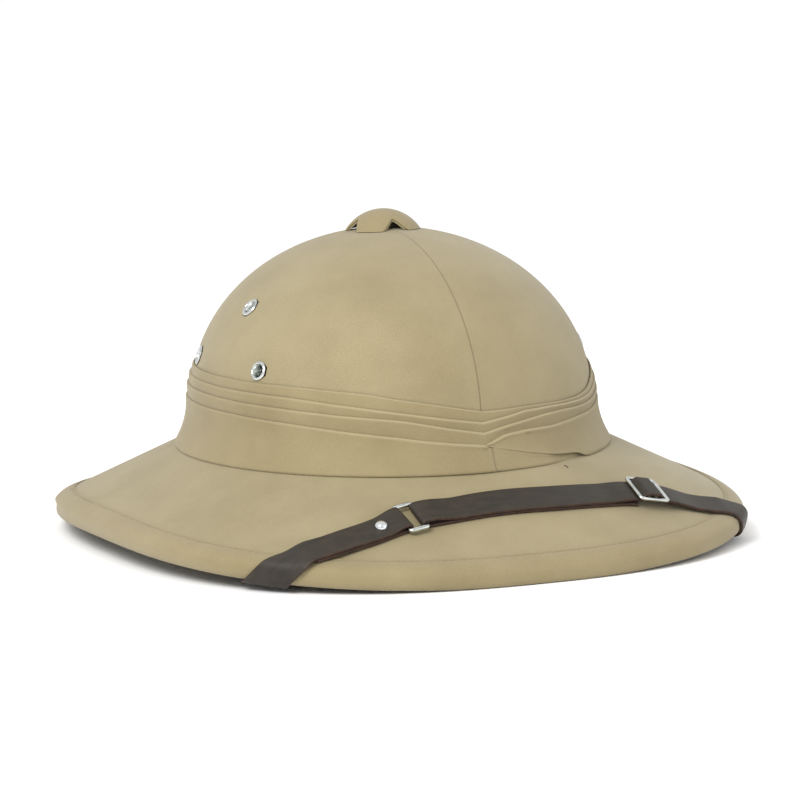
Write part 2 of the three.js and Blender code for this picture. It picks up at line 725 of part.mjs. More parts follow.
function atAzimuth({ marks }, azimuth) {
  const turn = degToRad(azimuth)
  const i = marks.findIndex((mark) => mark.turn >= turn)
  const [a, b] = [marks[i - 1], marks[i]]
  return lerp(a.at, b.at, (turn - a.turn) / (b.turn - a.turn))
}

function strapPlace(track, at, cell) {
  const { ribs } = track
  const found = ribs.findIndex((rib) => rib.at >= at)
  const i = clamp(found < 0 ? ribs.length - 1 : found, 1, ribs.length - 1)
  const [a, b] = [ribs[i - 1], ribs[i]]
  const share = (at - a.at) / (b.at - a.at)
  const point = a.places[cell].point.clone().lerp(b.places[cell].point, share)
  const normal = a.places[cell].normal.clone().lerp(b.places[cell].normal, share).normalize()
  return { point, normal }
}

function liftedFrame(track, at, lift) {
  const middle = STRAP_CELLS / 2
  const { point, normal } = strapPlace(track, at, middle)
  const along = strapPlace(track, at + 1, middle).point.sub(strapPlace(track, at - 1, middle).point)
  along.addScaledVector(normal, -along.dot(normal)).normalize()
  return { point: point.addScaledVector(normal, lift), normal, along }
}

// A strap from its side view: a line of (at, lift) pairs gets the leather's thickness and the
// strap's width, and is laid along the track.
function leather(track, line, holes) {
  const cells = line.length - 1
  const bar = new THREE.BoxGeometry(cells, STRAP_LEATHER, STRAP_CELLS, cells, 1, STRAP_CELLS)
  const laid = reshape(bar, ({ x, y, z }) => {
    const i = Math.round(x + cells / 2)
    const next = line[Math.min(i + 1, cells)]
    const slope = next.clone().sub(line[Math.max(i - 1, 0)]).normalize()
    const spot = new THREE.Vector2(-slope.y, slope.x).multiplyScalar(y).add(line[i])
    const { point, normal } = strapPlace(track, spot.x, Math.round(z + STRAP_CELLS / 2))
    return point.addScaledVector(normal, spot.y)
  })
  return cut(laid, holes)
}

function strapSizes(track) {
  const turn = RING_BAR / 2 + METAL_PLAY + STRAP_LEATHER / 2
  const lower = STRAP_FLOAT + STRAP_LEATHER / 2
  return {
    ring: atAzimuth(track, RING_AZIMUTH),
    slider: atAzimuth(track, SLIDER_AZIMUTH),
    turn,
    lower,
    ringLift: lower + turn,
    upper: lower + STRAP_LEATHER + GAP,
    barOffset: (RING_LENGTH - RING_BAR) / 2,
  }
}

function turnAround(at, lift, radius, from, to) {
  const steps = 6
  return Array.from({ length: steps + 1 }, (_, i) => {
    const angle = degToRad(lerp(from, to, i / steps))
    return new THREE.Vector2(at + radius * Math.cos(angle), lift + radius * Math.sin(angle))
  })
}

function layer(track, from, to, liftAt) {
  const inside = track.ribs.map(({ at }) => at).filter((at) => at > from + 1 && at < to - 1)
  return [from, ...inside, to].map((at) => new THREE.Vector2(at, liftAt(at)))
}

// The short strap comes from the right, rests on its own folded end and turns back round the ring.
function shortStrap(track, sizes, holes) {
  const bar = sizes.ring - sizes.barOffset
  const tip = bar - SHORT_FOLD
  const climb = 8
  const upper = (at) => {
    const stacked = smooth(sizes.upper, sizes.ringLift + sizes.turn, (at - bar + climb) / climb)
    return smooth(sizes.lower, stacked, (at - tip + climb) / climb)
  }
  const line = [
    ...layer(track, 0, bar - climb, upper),
    ...layer(track, bar - climb / 2, bar - 1, upper),
    ...turnAround(bar, sizes.ringLift, sizes.turn, 90, -90),
    ...layer(track, tip + 1, bar - 1, () => sizes.lower).reverse(),
  ]
  return leather(track, line, holes)
}

// The long strap comes from the left, over the slider's middle bar and back under it from the ring.
function longStrap(track, sizes, holes) {
  const bar = sizes.ring + sizes.barOffset
  const half = (SLIDER_LENGTH - SLIDER_BAR) / 2
  const climb = 12
  const ridge = sizes.upper + 2 * (STRAP_LEATHER / 2 + SLIDER_BAR / 2 + METAL_PLAY)
  const upper = (at) => {
    const fromRing = smooth(sizes.ringLift + sizes.turn, sizes.upper, (at - bar - climb * 0.4) / climb)
    const past = smooth(fromRing, sizes.lower, (at - sizes.slider - half * 1.5) / climb)
    return smooth(ridge, past, Math.abs(at - sizes.slider) / (half * 0.8))
  }
  const crest = [-0.7, -0.5, -0.3, -0.1, 0.1, 0.3, 0.5, 0.7].map((share) => sizes.slider + share * half)
  const plain = layer(track, bar + 1, track.length, upper).map(({ x }) => x)
  const upperLayer = [...plain.filter((at) => Math.abs(at - sizes.slider) > half * 0.8), ...crest]
    .sort((a, b) => b - a)
    .map((at) => new THREE.Vector2(at, upper(at)))
  const tip = sizes.slider - half * 0.9
  const line = [
    ...upperLayer,
    ...turnAround(bar, sizes.ringLift, sizes.turn, 90, 270),
    ...layer(track, bar + 1, tip, () => sizes.lower),
  ]
  return leather(track, line, holes)
}

// A flat metal frame with rounded corners and one or more windows, lying across the strap.
function roundedBox(shape, x, y, width, height, corner) {
  const [right, top] = [x + width, y + height]
  shape.moveTo(x + corner, y)
  shape.lineTo(right - corner, y)
  shape.absarc(right - corner, y + corner, corner, -Math.PI / 2, 0)
  shape.absarc(right - corner, top - corner, corner, 0, Math.PI / 2)
  shape.absarc(x + corner, top - corner, corner, Math.PI / 2, Math.PI)
  shape.absarc(x + corner, y + corner, corner, Math.PI, Math.PI * 1.5)
  return shape
}

function metalFrame(length, bar, windows) {
  const inner = STRAP_WIDTH + 2 * METAL_PLAY
  const width = inner + 2 * bar
  const corner = bar * 0.9
  const shape = roundedBox(new THREE.Shape(), -length / 2, -width / 2, length, width, corner)
  const opening = (length - (windows + 1) * bar) / windows
  for (let i = 0; i < windows; i += 1) {
    const x = -length / 2 + bar + i * (opening + bar)
    shape.holes.push(roundedBox(new THREE.Path(), x, -inner / 2, opening, inner, corner / 2))
  }
  const plate = new THREE.ExtrudeGeometry(shape, { depth: bar, bevelEnabled: false, curveSegments: 2 })
  plate.translate(0, 0, -bar / 2)
  return closed(plate)
}

// Domed rivet through both layers at the ring, and the plain studs inside the crown.
function rivetMesh(frame, low) {
  const dome = 5
  const head = Array.from({ length: dome + 1 }, (_, i) => {
    const angle = (1 - i / dome) * Math.PI / 2
    const radius = i ? RIVET_HEAD / 2 * Math.cos(angle) : 0
    return [radius, GAP + RIVET_DOME * Math.sin(angle)]
  })
  const profile = [...head, [RIVET_SHANK / 2, GAP], [RIVET_SHANK / 2, low], [0, low]]
  const rivet = lathe(profile, ROUND_SIDES)
  rivet.rotateX(Math.PI / 2)
  return placed(named('strap_rivet', closed(rivet), NICKEL), frame)
}

function studMesh(name, frame) {
  const face = INSIDE_PLAY + STRAP_FLOAT + STRAP_LEATHER + 2 * GAP
  const profile = [
    [0, face + STUD_DOME],
    [STUD_HEAD * 0.3, face + STUD_DOME],
    [STUD_HEAD / 2, face + STUD_RIM],
    [STUD_HEAD / 2, face],
    [RIVET_SHANK / 2, face],
    [RIVET_SHANK / 2, GAP - CROWN_SHELL],
    [0, GAP - CROWN_SHELL],
  ]
  const stud = lathe(profile, ROUND_SIDES)
  stud.rotateX(Math.PI / 2)
  return placed(named(name, closed(stud), NICKEL), frame)
}

function strapMeshes(studs) {
  const track = strapTrack()
  const sizes = strapSizes(track)
  const hole = RIVET_SHANK + 2 * GAP
  const rivetAt = sizes.ring - RIVET_FROM_RING
  const rivetTop = liftedFrame(track, rivetAt, sizes.upper + STRAP_LEATHER / 2 + GAP)
  const stack = -2 * STRAP_LEATHER - 2 * GAP
  const deep = STRAP_LEATHER * 4
  const studHoles = studs.map((frame) => pinAlong(frame, hole, -deep, deep))
  const ringFrame = liftedFrame(track, sizes.ring, sizes.ringLift)
  const sliderLift = sizes.upper + STRAP_LEATHER / 2 + METAL_PLAY + SLIDER_BAR / 2
  const sliderFrame = liftedFrame(track, sizes.slider, sliderLift)
  const shortHoles = [studHoles[0], pinAlong(rivetTop, hole, -deep, deep)]
  return [
    named('chin_strap_short', shortStrap(track, sizes, shortHoles), LEATHER),
    named('chin_strap_long', longStrap(track, sizes, [studHoles[1]]), LEATHER),
    placed(named('strap_ring', metalFrame(RING_LENGTH, RING_BAR, 1), NICKEL), ringFrame),
    placed(named('strap_slider', metalFrame(SLIDER_LENGTH, SLIDER_BAR, 2), NICKEL), sliderFrame),
    rivetMesh(rivetTop, stack),
    studMesh('strap_stud_right', studs[0]),
    studMesh('strap_stud_left', studs[1]),
  ]
}

const wasm = await Module()
wasm.setup()

const frames = { eyelets: eyeletFrames(), cap: capFrame(), studs: [studFrame(-1), studFrame(1)] }
const helmet = new THREE.Group()
helmet.add(crownMesh(frames))
helmet.add(brimMesh())
helmet.add(hemMesh())
helmet.add(...bandMeshes())
helmet.add(...capMeshes(frames.cap))
helmet.add(...frames.eyelets.map(eyeletMesh))
helmet.add(...strapMeshes(frames.studs))

export default helmet
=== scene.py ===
import json
import math

import bmesh
import bpy
import numpy as np
from mathutils import Matrix, Vector

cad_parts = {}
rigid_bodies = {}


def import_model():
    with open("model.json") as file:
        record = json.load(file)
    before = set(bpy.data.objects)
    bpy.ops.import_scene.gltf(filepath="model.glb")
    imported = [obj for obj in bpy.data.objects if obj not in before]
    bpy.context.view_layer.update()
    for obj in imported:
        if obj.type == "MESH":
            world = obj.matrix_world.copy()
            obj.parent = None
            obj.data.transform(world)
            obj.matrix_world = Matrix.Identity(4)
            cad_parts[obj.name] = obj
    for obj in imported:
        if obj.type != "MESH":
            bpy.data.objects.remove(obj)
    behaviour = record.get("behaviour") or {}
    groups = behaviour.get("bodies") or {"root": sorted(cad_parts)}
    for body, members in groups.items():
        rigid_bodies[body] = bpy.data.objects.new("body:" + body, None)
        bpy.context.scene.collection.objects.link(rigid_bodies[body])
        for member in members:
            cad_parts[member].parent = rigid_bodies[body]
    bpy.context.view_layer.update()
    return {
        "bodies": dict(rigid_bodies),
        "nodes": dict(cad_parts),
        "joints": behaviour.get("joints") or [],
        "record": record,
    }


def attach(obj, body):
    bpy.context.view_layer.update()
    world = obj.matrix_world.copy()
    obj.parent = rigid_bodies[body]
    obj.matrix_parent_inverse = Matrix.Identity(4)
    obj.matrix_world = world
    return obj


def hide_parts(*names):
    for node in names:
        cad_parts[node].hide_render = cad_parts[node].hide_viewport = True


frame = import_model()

# A cloth-covered pith helmet. Sizes are in millimetres, as in the solids' source, and each mesh is
# scaled to metres when it is made. The front is towards -Y and the wearer's left towards +X.
MM = 0.001

# Brim
BRIM_LENGTH = 337.0
BRIM_WIDTH = 303.0
BRIM_ROUNDING = 2.55
BRIM_FALL = 30.8
BRIM_SADDLE = 4.6
BRIM_BOARD = 3.3
HEM_DEPTH = 8.0
HEM_ROLL = 6.5
HEM_WIDTH = 9.0
HEM_CLOTH = 0.8
HEM_LAND = 0.8

# Crown
CROWN_LENGTH = 208.0
CROWN_WIDTH = 186.4
CROWN_WALL = 19.9
CROWN_DOME = 81.0
CROWN_ROUNDING = 2.03
CROWN_SHELL = 3.0
CROWN_SET_BACK = 3.0
FOOT_SPREAD = 6.2
FOOT_HEIGHT = 22.0

# Band
BAND_HEIGHT = 37.8
BAND_FOOT_LIFT = 0.6
BAND_BACK_SPLIT = 0.3

# Ventilator cap
CAP_WIDTH = 35.6
CAP_RISE = 8.8
CAP_SKIRT = 1.0
CAP_WALL = 1.8
CAP_SET_BACK = 5.5
CAP_ARCH_WIDTH = 13.6
CAP_ARCH_HEIGHT = 4.9
CAP_ARCHES = 4

# Eyelets
EYELET_FLANGE = 9.4
EYELET_BORE = 5.6
EYELET_METAL = 0.5
EYELET_ABOVE_BAND = 0.5
EYELET_SPREAD = 25.6
EYELET_OPENING = 4.15
EYELET_OPENING_REACH = 6.5

# Strap and its metal
STRAP_WIDTH = 15.0
STRAP_LEATHER = 1.4
STRAP_FLOAT = 0.2
RING_AZIMUTH = -22.5
RING_LENGTH = 11.0
RING_BAR = (1.6, 1.6)
RING_SIDE = (2.5, 2.2)
SHORT_FOLD = 48.0
SLIDER_AZIMUTH = 32.5
SLIDER_LENGTH = 16.4
SLIDER_BAR = (2.2, 1.3)
SLIDER_SIDE = (1.9, 1.5)
SLIDER_LIFT = 1.3
METAL_PLAY = 0.2
SIDE_PLAY = 0.5
HEM_PLAY = 0.15
RIVET_FROM_RING = 15.5
RIVET_HEAD = 6.2
RIVET_DOME = 2.6
RIVET_SHANK = 2.6
STUD_TURN = 92.0
STUD_HEIGHT = 19.0
RIM_CROSSING = 66.0

# How finely the meshes are divided
CROWN_FOOT_ROWS = 12
CROWN_ROWS = 52
CROWN_COLUMNS = 126
BRIM_ROWS = 25
BRIM_COLUMNS = 288
HEM_ROWS = 120
HEM_COLUMNS = 480
CAP_COLUMNS = 384
METAL_SIDES = 16
ROUTE_STEPS = 132
WRAP_STEPS = 160
WRAP_RIBS = 56

GAP = 0.3
INSIDE_PLAY = 1.0
SEAT_HEIGHT = BRIM_FALL + BRIM_SADDLE + HEM_DEPTH - HEM_LAND
HEM_RISE = GAP + HEM_CLOTH

# Azimuth from the front, then how high the foot, the fourth, third, second and first fold's upper edge
# run, as shares of BAND_HEIGHT
RIGHT_FOLDS = np.array([
    (0, 0, 0.29, 0.437, 0.56, 0.69),
    (15, 0, 0.37, 0.56, 0.665, 0.815),
    (22.5, 0, 0.415, 0.625, 0.715, 0.87),
    (37.5, 0, 0.49, 0.68, 0.8, 0.96),
    (60, 0, 0.57, 0.735, 0.875, 1),
    (90, 0, 0.6, 0.76, 0.885, 1),
    (180, 0, 0.6, 0.76, 0.885, 1),
], float)
LEFT_FOLDS = np.array([
    (0, 0.27, 0.29, 0.437, 0.56, 0.69),
    (7.5, 0.2, 0.4, 0.5, 0.61, 0.69),
    (15, 0.13, 0.42, 0.545, 0.655, 0.695),
    (22.5, 0.075, 0.42, 0.575, 0.655, 0.69),
    (30, 0.045, 0.435, 0.58, 0.645, 0.68),
    (37.5, 0, 0.45, 0.57, 0.64, 0.68),
    (45, 0, 0.46, 0.575, 0.65, 0.7),
    (60, 0, 0.52, 0.64, 0.75, 0.85),
    (75, 0, 0.57, 0.73, 0.85, 0.96),
    (90, 0, 0.6, 0.76, 0.885, 1),
    (180, 0, 0.6, 0.76, 0.885, 1),
], float)
# Azimuth from the front and reach from the crown (0) to the brim's edge (1)
STRAP_ROUTE = np.array([
    (-43.3, 1), (-39.8, 0.89), (-35.8, 0.765), (-31.2, 0.65), (-22.7, 0.478), (-10, 0.38), (0, 0.352),
    (10, 0.368), (20, 0.405), (29, 0.475), (38, 0.635), (44.5, 0.81), (49.4, 1),
], float)
# Inboard as a share of HEM_WIDTH, level as a share of HEM_DEPTH, tilt in degrees
STRAP_WRAP = np.array([
    (0.4, 0.39, 63), (0.16, 0.23, 48), (0.03, 0.03, 20), (-0.01, -0.2, 3), (0.03, -0.5, -7),
    (0.12, -0.84, -25), (0.28, -1, -55), (0.5, -1.05, -80), (0.9, -1.05, -88),
], float)
EYELET_SIDES = (("right", -1, 87), ("left", 1, 94))
EYELET_ROWS = (("top", -3, 1), ("front", -19.4, 0), ("rear", 19, 0))
# The hem's outline: inboard from the brim's edge and level from the brim's top, in millimetres.
# The dip at 8.1 inboard is where its stitching pulls the cloth down.
HEM_SECTION = np.array([
    (9.1, 0.04), (9.3, 0.2), (9.2, 0.42), (8.75, 0.6), (8.1, 0.46), (7.5, 0.66), (6.2, 0.96), (4.6, 1.1),
    (3.1, 1.04), (1.75, 0.68), (0.8, 0.06), (0.2, -0.85), (0.02, -2.1), (0.06, -3.6), (0.3, -5.3),
    (0.95, -6.8), (2.0, -7.7), (3.5, -8.02), (5.0, -8.05), (6.2, -7.75), (6.85, -6.6), (7.2, -5.1),
    (7.5, -4.4), (7.4, -3.75), (6.9, -3.62), (6.5, -3.3), (6.5, -1.5), (6.5, -0.1), (6.8, 0.03), (7.9, 0.03),
], float)
HEM_LIP_TURN = 236.0
STITCH_INBOARD = 8.1
STITCH_LENGTH = 2.3
STITCH_PITCH = 3.1
STITCH_RADIUS = 0.24
STITCH_LEVEL = 0.5


# Small helpers
def lerp(a, b, share):
    return a + (b - a) * share


def smooth(low, high, share):
    s = np.clip(share, 0, 1)
    return lerp(low, high, s * s * (3 - 2 * s))


def vec(x, y, z):
    return np.stack(np.broadcast_arrays(x, y, z), axis=-1).astype(float)


def unit(v):
    return v / np.maximum(np.linalg.norm(v, axis=-1, keepdims=True), 1e-12)


def full_turn(count):
    return np.linspace(0, 2 * math.pi, count, endpoint=False)


def hump(x, width):
    return np.exp(-((x / width) ** 2))


def through(xs, ys, x):
    """A smooth curve through a table's points, with no overshoot between them."""
    xs, ys = np.asarray(xs, float), np.asarray(ys, float)
    step = np.diff(xs)
    rise = np.diff(ys) / step
    slope = np.zeros(len(xs))
    same = rise[:-1] * rise[1:] > 0
    mean = 2 * rise[:-1] * rise[1:] / np.where(same, rise[:-1] + rise[1:], 1)
    slope[1:-1] = np.where(same, mean, 0)
    slope[0], slope[-1] = rise[0], rise[-1]
    i = np.clip(np.searchsorted(xs, x, side="right") - 1, 0, len(step) - 1)
    h = step[i]
    t = np.clip((x - xs[i]) / h, 0, 1)
    start = (2 * t**3 - 3 * t**2 + 1) * ys[i] + (t**3 - 2 * t**2 + t) * h * slope[i]
    return start + (3 * t**2 - 2 * t**3) * ys[i + 1] + (t**3 - t**2) * h * slope[i + 1]


def spline(points, steps, closed=False):
    """Points on a uniform curve through rows of a table."""
    count = len(points)
    t = np.linspace(0, count if closed else count - 1, steps + 1)
    i = np.minimum(t.astype(int), count - 1 if closed else count - 2)
    w = (t - i)[:, None]
    if closed:
        p0, p1, p2, p3 = (points[(i + k) % count] for k in (-1, 0, 1, 2))
    else:
        p0, p1, p2, p3 = (points[np.clip(i + k, 0, count - 1)] for k in (-1, 0, 1, 2))
    v0, v1 = (p2 - p0) / 2, (p3 - p1) / 2
    return (2 * p1 - 2 * p2 + v0 + v1) * w**3 + (3 * p2 - 3 * p1 - 2 * v0 - v1) * w**2 + v0 * w + p1


def wander(turn, seed, waves=(2, 3, 5, 8, 13)):
    """A slow wave round the hat, the same each time."""
    dice = np.random.default_rng(seed)
    total = 0.0
    for count in waves:
        total = total + np.sin(count * turn + dice.uniform(0, 2 * math.pi)) * dice.uniform(0.4, 1)
    return total / len(waves)


# The hat's surfaces
def dome_share(z):
    rise = np.clip((z - CROWN_WALL) / CROWN_DOME, 0, 1)
    return (1 - rise**CROWN_ROUNDING) ** (1 / CROWN_ROUNDING)


def foot_spread(z):
    return FOOT_SPREAD * np.clip(1 - z / FOOT_HEIGHT, 0, 1) ** 2


def crown_radius(z):
    return CROWN_WIDTH / 2 * dome_share(z) + foot_spread(z)


def length_ratio(z):
    return (CROWN_LENGTH / 2 + foot_spread(z)) / (CROWN_WIDTH / 2 + foot_spread(z))


def on_crown(turn, radius, z):
    y = CROWN_SET_BACK - radius * length_ratio(z) * np.cos(turn)
    return vec(radius * np.sin(turn), y, SEAT_HEIGHT + z)


def crown_point(turn, z, out=0.0):
    return on_crown(turn, crown_radius(z) + out, z)


def crown_normal(turn, z):
    step = 0.01
    along = crown_point(turn + step, z) - crown_point(turn - step, z)
    rise = crown_point(turn, z + step) - crown_point(turn, z - step)
    return unit(np.cross(along, rise))


def crown_height_at(x, y):
    share = np.hypot(x / (CROWN_WIDTH / 2), (y - CROWN_SET_BACK) / (CROWN_LENGTH / 2))
    rise = (1 - np.minimum(share, 1) ** CROWN_ROUNDING) ** (1 / CROWN_ROUNDING)
    return SEAT_HEIGHT + CROWN_WALL + CROWN_DOME * rise


def brim_foot(turn):
    return crown_point(turn, 0.0, GAP)[..., :2]


def brim_edge(turn):
    c, s = np.cos(turn), np.sin(turn)
    size = (np.abs(c) ** BRIM_ROUNDING + np.abs(s) ** BRIM_ROUNDING) ** (-1 / BRIM_ROUNDING)
    return np.stack([BRIM_WIDTH / 2 * s * size, -BRIM_LENGTH / 2 * c * size], axis=-1)


def brim_overhang(turn):
    return np.linalg.norm(brim_edge(turn) - brim_foot(turn), axis=-1)


def brim_point(turn, reach):
    turn, reach = np.broadcast_arrays(np.asarray(turn, float), np.asarray(reach, float))
    plan = lerp(brim_foot(turn), brim_edge(turn), reach[..., None])
    fall = BRIM_FALL + BRIM_SADDLE * np.cos(2 * turn)
    return vec(plan[..., 0], plan[..., 1], SEAT_HEIGHT - reach * fall)


def brim_normal(turn, reach):
    step = 0.002
    along = brim_point(turn + step, reach) - brim_point(turn - step, reach)
    outward = brim_point(turn, reach + step) - brim_point(turn, reach - step)
    return unit(np.cross(outward, along))


def surface_frame(point, normal):
    along = np.array([-normal[1], normal[0], 0.0])
    along = np.array([1.0, 0, 0]) if along @ along < 1e-6 else unit(along)
    return point, normal, unit(along - normal * (along @ normal))


def in_frame(points, frame):
    """Puts points of a local frame (along, across, out) into the hat's frame."""
    point, normal, along = frame
    return point + points @ np.stack([along, np.cross(normal, along), normal])


# Meshes
def cell_faces(r, c, rows, cols):
    """The corners of the cells of a grid, which may wrap round."""
    r1, c1 = (r + 1) % rows, (c + 1) % cols
    return np.stack([r * cols + c, r * cols + c1, r1 * cols + c1, r1 * cols + c], -1).reshape(-1, 4)


class Shape:
    """Vertices, faces and weave coordinates, gathered from grids."""

    def __init__(self):
        self.points, self.faces, self.weave, self.tags, self.painted_light_and_wear = [], [], [], [], []
        self.count = 0

    def add(self, points, faces, weave, tags, painted_light_and_wear=None):
        points = np.asarray(points, float).reshape(-1, 3)
        self.points.append(points)
        self.faces.extend([[int(v) + self.count for v in face] for face in faces])
        self.weave.extend(np.asarray(weave, float).reshape(-1, 2))
        self.tags.extend(tags)
        self.painted_light_and_wear.append(np.zeros(len(points)) if painted_light_and_wear is None else np.asarray(painted_light_and_wear, float).ravel())
        self.count += len(points)

    def grid(self, points, weave, wrap_rows=False, wrap_cols=False, tags=None, painted_light_and_wear=None):
        """points is rows x columns x 3. weave has one more row or column where that way wraps."""
        rows, cols = points.shape[:2]
        r, c = np.indices((rows - (not wrap_rows), cols - (not wrap_cols)))
        faces = cell_faces(r, c, rows, cols)
        uv = np.stack([weave[r, c], weave[r, c + 1], weave[r + 1, c + 1], weave[r + 1, c]], -2)
        tags = np.zeros(r.shape, int) if tags is None else np.broadcast_to(tags, r.shape)
        self.add(points, faces, uv, list(tags.ravel()), painted_light_and_wear)

    def fan(self, ring, weave, tag=0):
        self.add(ring, [list(range(len(ring)))], weave, [tag])

    def piece(self, name, materials, sharp=38, weld=0.004):
        mesh = bpy.data.meshes.new(name)
        mesh.from_pydata((np.concatenate(self.points) * MM).tolist(), [], self.faces)
        layer = mesh.uv_layers.new(name="weave")
        layer.data.foreach_set("uv", np.asarray(self.weave, np.float32).ravel())
        mark = mesh.attributes.new("painted_light_and_wear", "FLOAT", "POINT")
        mark.data.foreach_set("value", np.concatenate(self.painted_light_and_wear).astype(np.float32))
        mesh.polygons.foreach_set("material_index", np.asarray(self.tags, np.int32))
        for material in materials:
            mesh.materials.append(material)
        work = bmesh.new()
        work.from_mesh(mesh)
        bmesh.ops.remove_doubles(work, verts=work.verts, dist=weld * MM)
        bmesh.ops.recalc_face_normals(work, faces=work.faces)
        work.to_mesh(mesh)
        work.free()
        mesh.polygons.foreach_set("use_smooth", np.ones(len(mesh.polygons), bool))
        mesh.set_sharp_from_angle(angle=math.radians(sharp))
        made = bpy.data.objects.new(name, mesh)
        bpy.context.scene.collection.objects.link(made)
        return made


def metres_along(points, axis):
    """How far each point of a grid is along a row or column, in millimetres."""
    steps = np.linalg.norm(np.diff(points, axis=axis), axis=-1)
    start = np.zeros_like(np.take(steps, [0], axis=axis))
    return np.concatenate([start, np.cumsum(steps, axis=axis)], axis=axis)


def finished(piece, slot, *nodes):
    if nodes:
        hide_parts(*nodes)
    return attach(piece, "root")


def direction(line):
    """Which way a line runs at each of its points."""
    return unit(np.concatenate([line[1:], line[-1:]]) - np.concatenate([line[:1], line[:-1]]))


def round_along(line):
    """How far each point of a closed line is along it, and the whole way round."""
    return metres_along(np.concatenate([line, line[:1]]), 0)


def lathe(profile, frame, sides=48):
    """Turns a closed profile of (radius, height) round a frame's normal."""
    profile = np.asarray(profile, float)
    turn = full_turn(sides)
    radius, height = profile[:, 0][:, None], profile[:, 1][:, None]
    local = vec(radius * np.cos(turn), radius * np.sin(turn), height)
    around = np.linspace(0, 2 * math.pi * profile[:, 0].max(), sides + 1)
    weave = np.stack(np.meshgrid(around, round_along(profile)), -1)
    shape = Shape()
    shape.grid(in_frame(local, frame), weave, wrap_rows=True, wrap_cols=True)
    return shape


# Materials. The weave layer is in millimetres. On the cloth the point attribute is painted shade where it is
# above 0, in creases, seams, grooves and gaps, and painted highlight where it is below 0, on fold edges and
# raised edges; on the leather it marks rubbed wear along the edges.
def linear(red, green, blue):
    return tuple(((c / 255 + 0.055) / 1.055) ** 2.4 for c in (red, green, blue)) + (1.0,)


# Painted highlight colour for lit fold edges, and painted shade colour for creases, seams and grooves
PAINTED_HIGHLIGHT_CLOTH = linear(170, 158, 124)
PAINTED_SHADE_CLOTH = linear(72, 60, 38)


class Look:
    """A material and its nodes."""

    def __init__(self, name):
        self.material = bpy.data.materials.new(name)
        self.material.use_nodes = True
        self.tree = self.material.node_tree
        self.shader = self.tree.nodes["Principled BSDF"]

    def node(self, kind, inputs, output=0, **settings):
        made = self.tree.nodes.new("ShaderNode" + kind)
        for key, value in settings.items():
            setattr(made, key, value)
        for key, value in inputs.items():
            if isinstance(value, bpy.types.NodeSocket):
                self.tree.links.new(value, made.inputs[key])
            else:
                made.inputs[key].default_value = value
        return made.outputs[output]

    def maths(self, operation, a, b, clamp=False):
        return self.node("Math", {0: a, 1: b}, operation=operation, use_clamp=clamp)

    def weighted(self, a, share_a, b, share_b):
        return self.maths("ADD", self.maths("MULTIPLY", a, share_a), self.maths("MULTIPLY", b, share_b))

    def spread(self, value, low, high):
        return self.node("MapRange", {"Value": value, "To Min": low, "To Max": high})

    def within(self, value, low, high):
        """0 where the value is low and 1 where it is high."""
        return self.node("MapRange", {"Value": value, "From Min": low, "From Max": high})

    def blended(self, share, a, b, blend="MIX"):
        return self.node("Mix", {0: share, 6: a, 7: b}, 2, data_type="RGBA", blend_type=blend)

    def noise(self, place, scale, detail=2.0, rough=0.55):
        inputs = {"Vector": place, "Scale": scale, "Detail": detail, "Roughness": rough}
        return self.node("TexNoise", inputs)

    def mapped(self, place, scale=(1, 1, 1), turn=0.0):
        inputs = {"Vector": place, "Rotation": (0, 0, math.radians(turn)), "Scale": scale}
        return self.node("Mapping", inputs)

    def weave(self):
        return self.node("UVMap", {}, uv_map="weave")

    def body(self):
        return self.node("TexCoord", {}, "Object")

    def painted_light_and_wear(self):
        return self.node("Attribute", {}, "Fac", attribute_name="painted_light_and_wear")

    def finish(self, colour, rough, height, depth, strength, sockets):
        bump = self.node("Bump", {"Height": height, "Distance": depth, "Strength": strength})
        for name, value in (("Base Color", colour), ("Roughness", rough), ("Normal", bump)):
            self.tree.links.new(value, self.shader.inputs[name])
        for name, value in sockets.items():
            self.shader.inputs[name].default_value = value
        return self.material


def cloth(name, light, dark, twill_turn=58.0, rough=(0.7, 0.86), relief=0.75):
    """Fine twill: diagonal ribs, slubs along both threads, faint mottling, painted shade in creases and
    seams, and painted highlights on fold edges.
    """
    look = Look(name)
    place = look.weave()
    ribs = look.node("TexWave", {
        "Vector": look.mapped(place, turn=twill_turn), "Scale": 0.43, "Distortion": 0.9, "Detail": 2.0,
        "Detail Scale": 1.2,
    }, 1, wave_type="BANDS", bands_direction="X")
    warp = look.noise(look.mapped(place, (3.2, 0.55, 1)), 1.0)
    weft = look.noise(look.mapped(place, (0.5, 3.4, 1)), 1.0)
    threads = look.maths("MULTIPLY", look.maths("ADD", warp, weft), 0.5)
    mottle = look.noise(look.body(), 26.0, 3.0, 0.6)
    flecks = look.spread(look.noise(place, 1.9, 1.0), 0.86, 1.14)
    flecks = look.node("CombineColor", {0: flecks, 1: flecks, 2: flecks})
    tone = look.weighted(look.weighted(ribs, 0.3, threads, 0.7), 0.55, mottle, 0.45)
    colour = look.blended(look.within(tone, 0.33, 0.62), dark, light)
    colour = look.blended(1.0, colour, flecks, "MULTIPLY")
    painted_light_and_wear = look.painted_light_and_wear()
    # Painted shade: darker where the attribute is above 0
    colour = look.blended(look.maths("MULTIPLY", painted_light_and_wear, 0.6, clamp=True), colour, PAINTED_SHADE_CLOTH)
    # Painted highlight: lighter where the attribute is below 0
    colour = look.blended(look.maths("MULTIPLY", painted_light_and_wear, -0.5, clamp=True), colour, PAINTED_HIGHLIGHT_CLOTH)
    height = look.weighted(ribs, 0.45, threads, 0.9)
    sockets = {"Sheen Weight": 0.18, "Sheen Roughness": 0.5, "Specular IOR Level": 0.32}
    return look.finish(colour, look.spread(threads, *rough), height, 0.00018, relief, sockets)


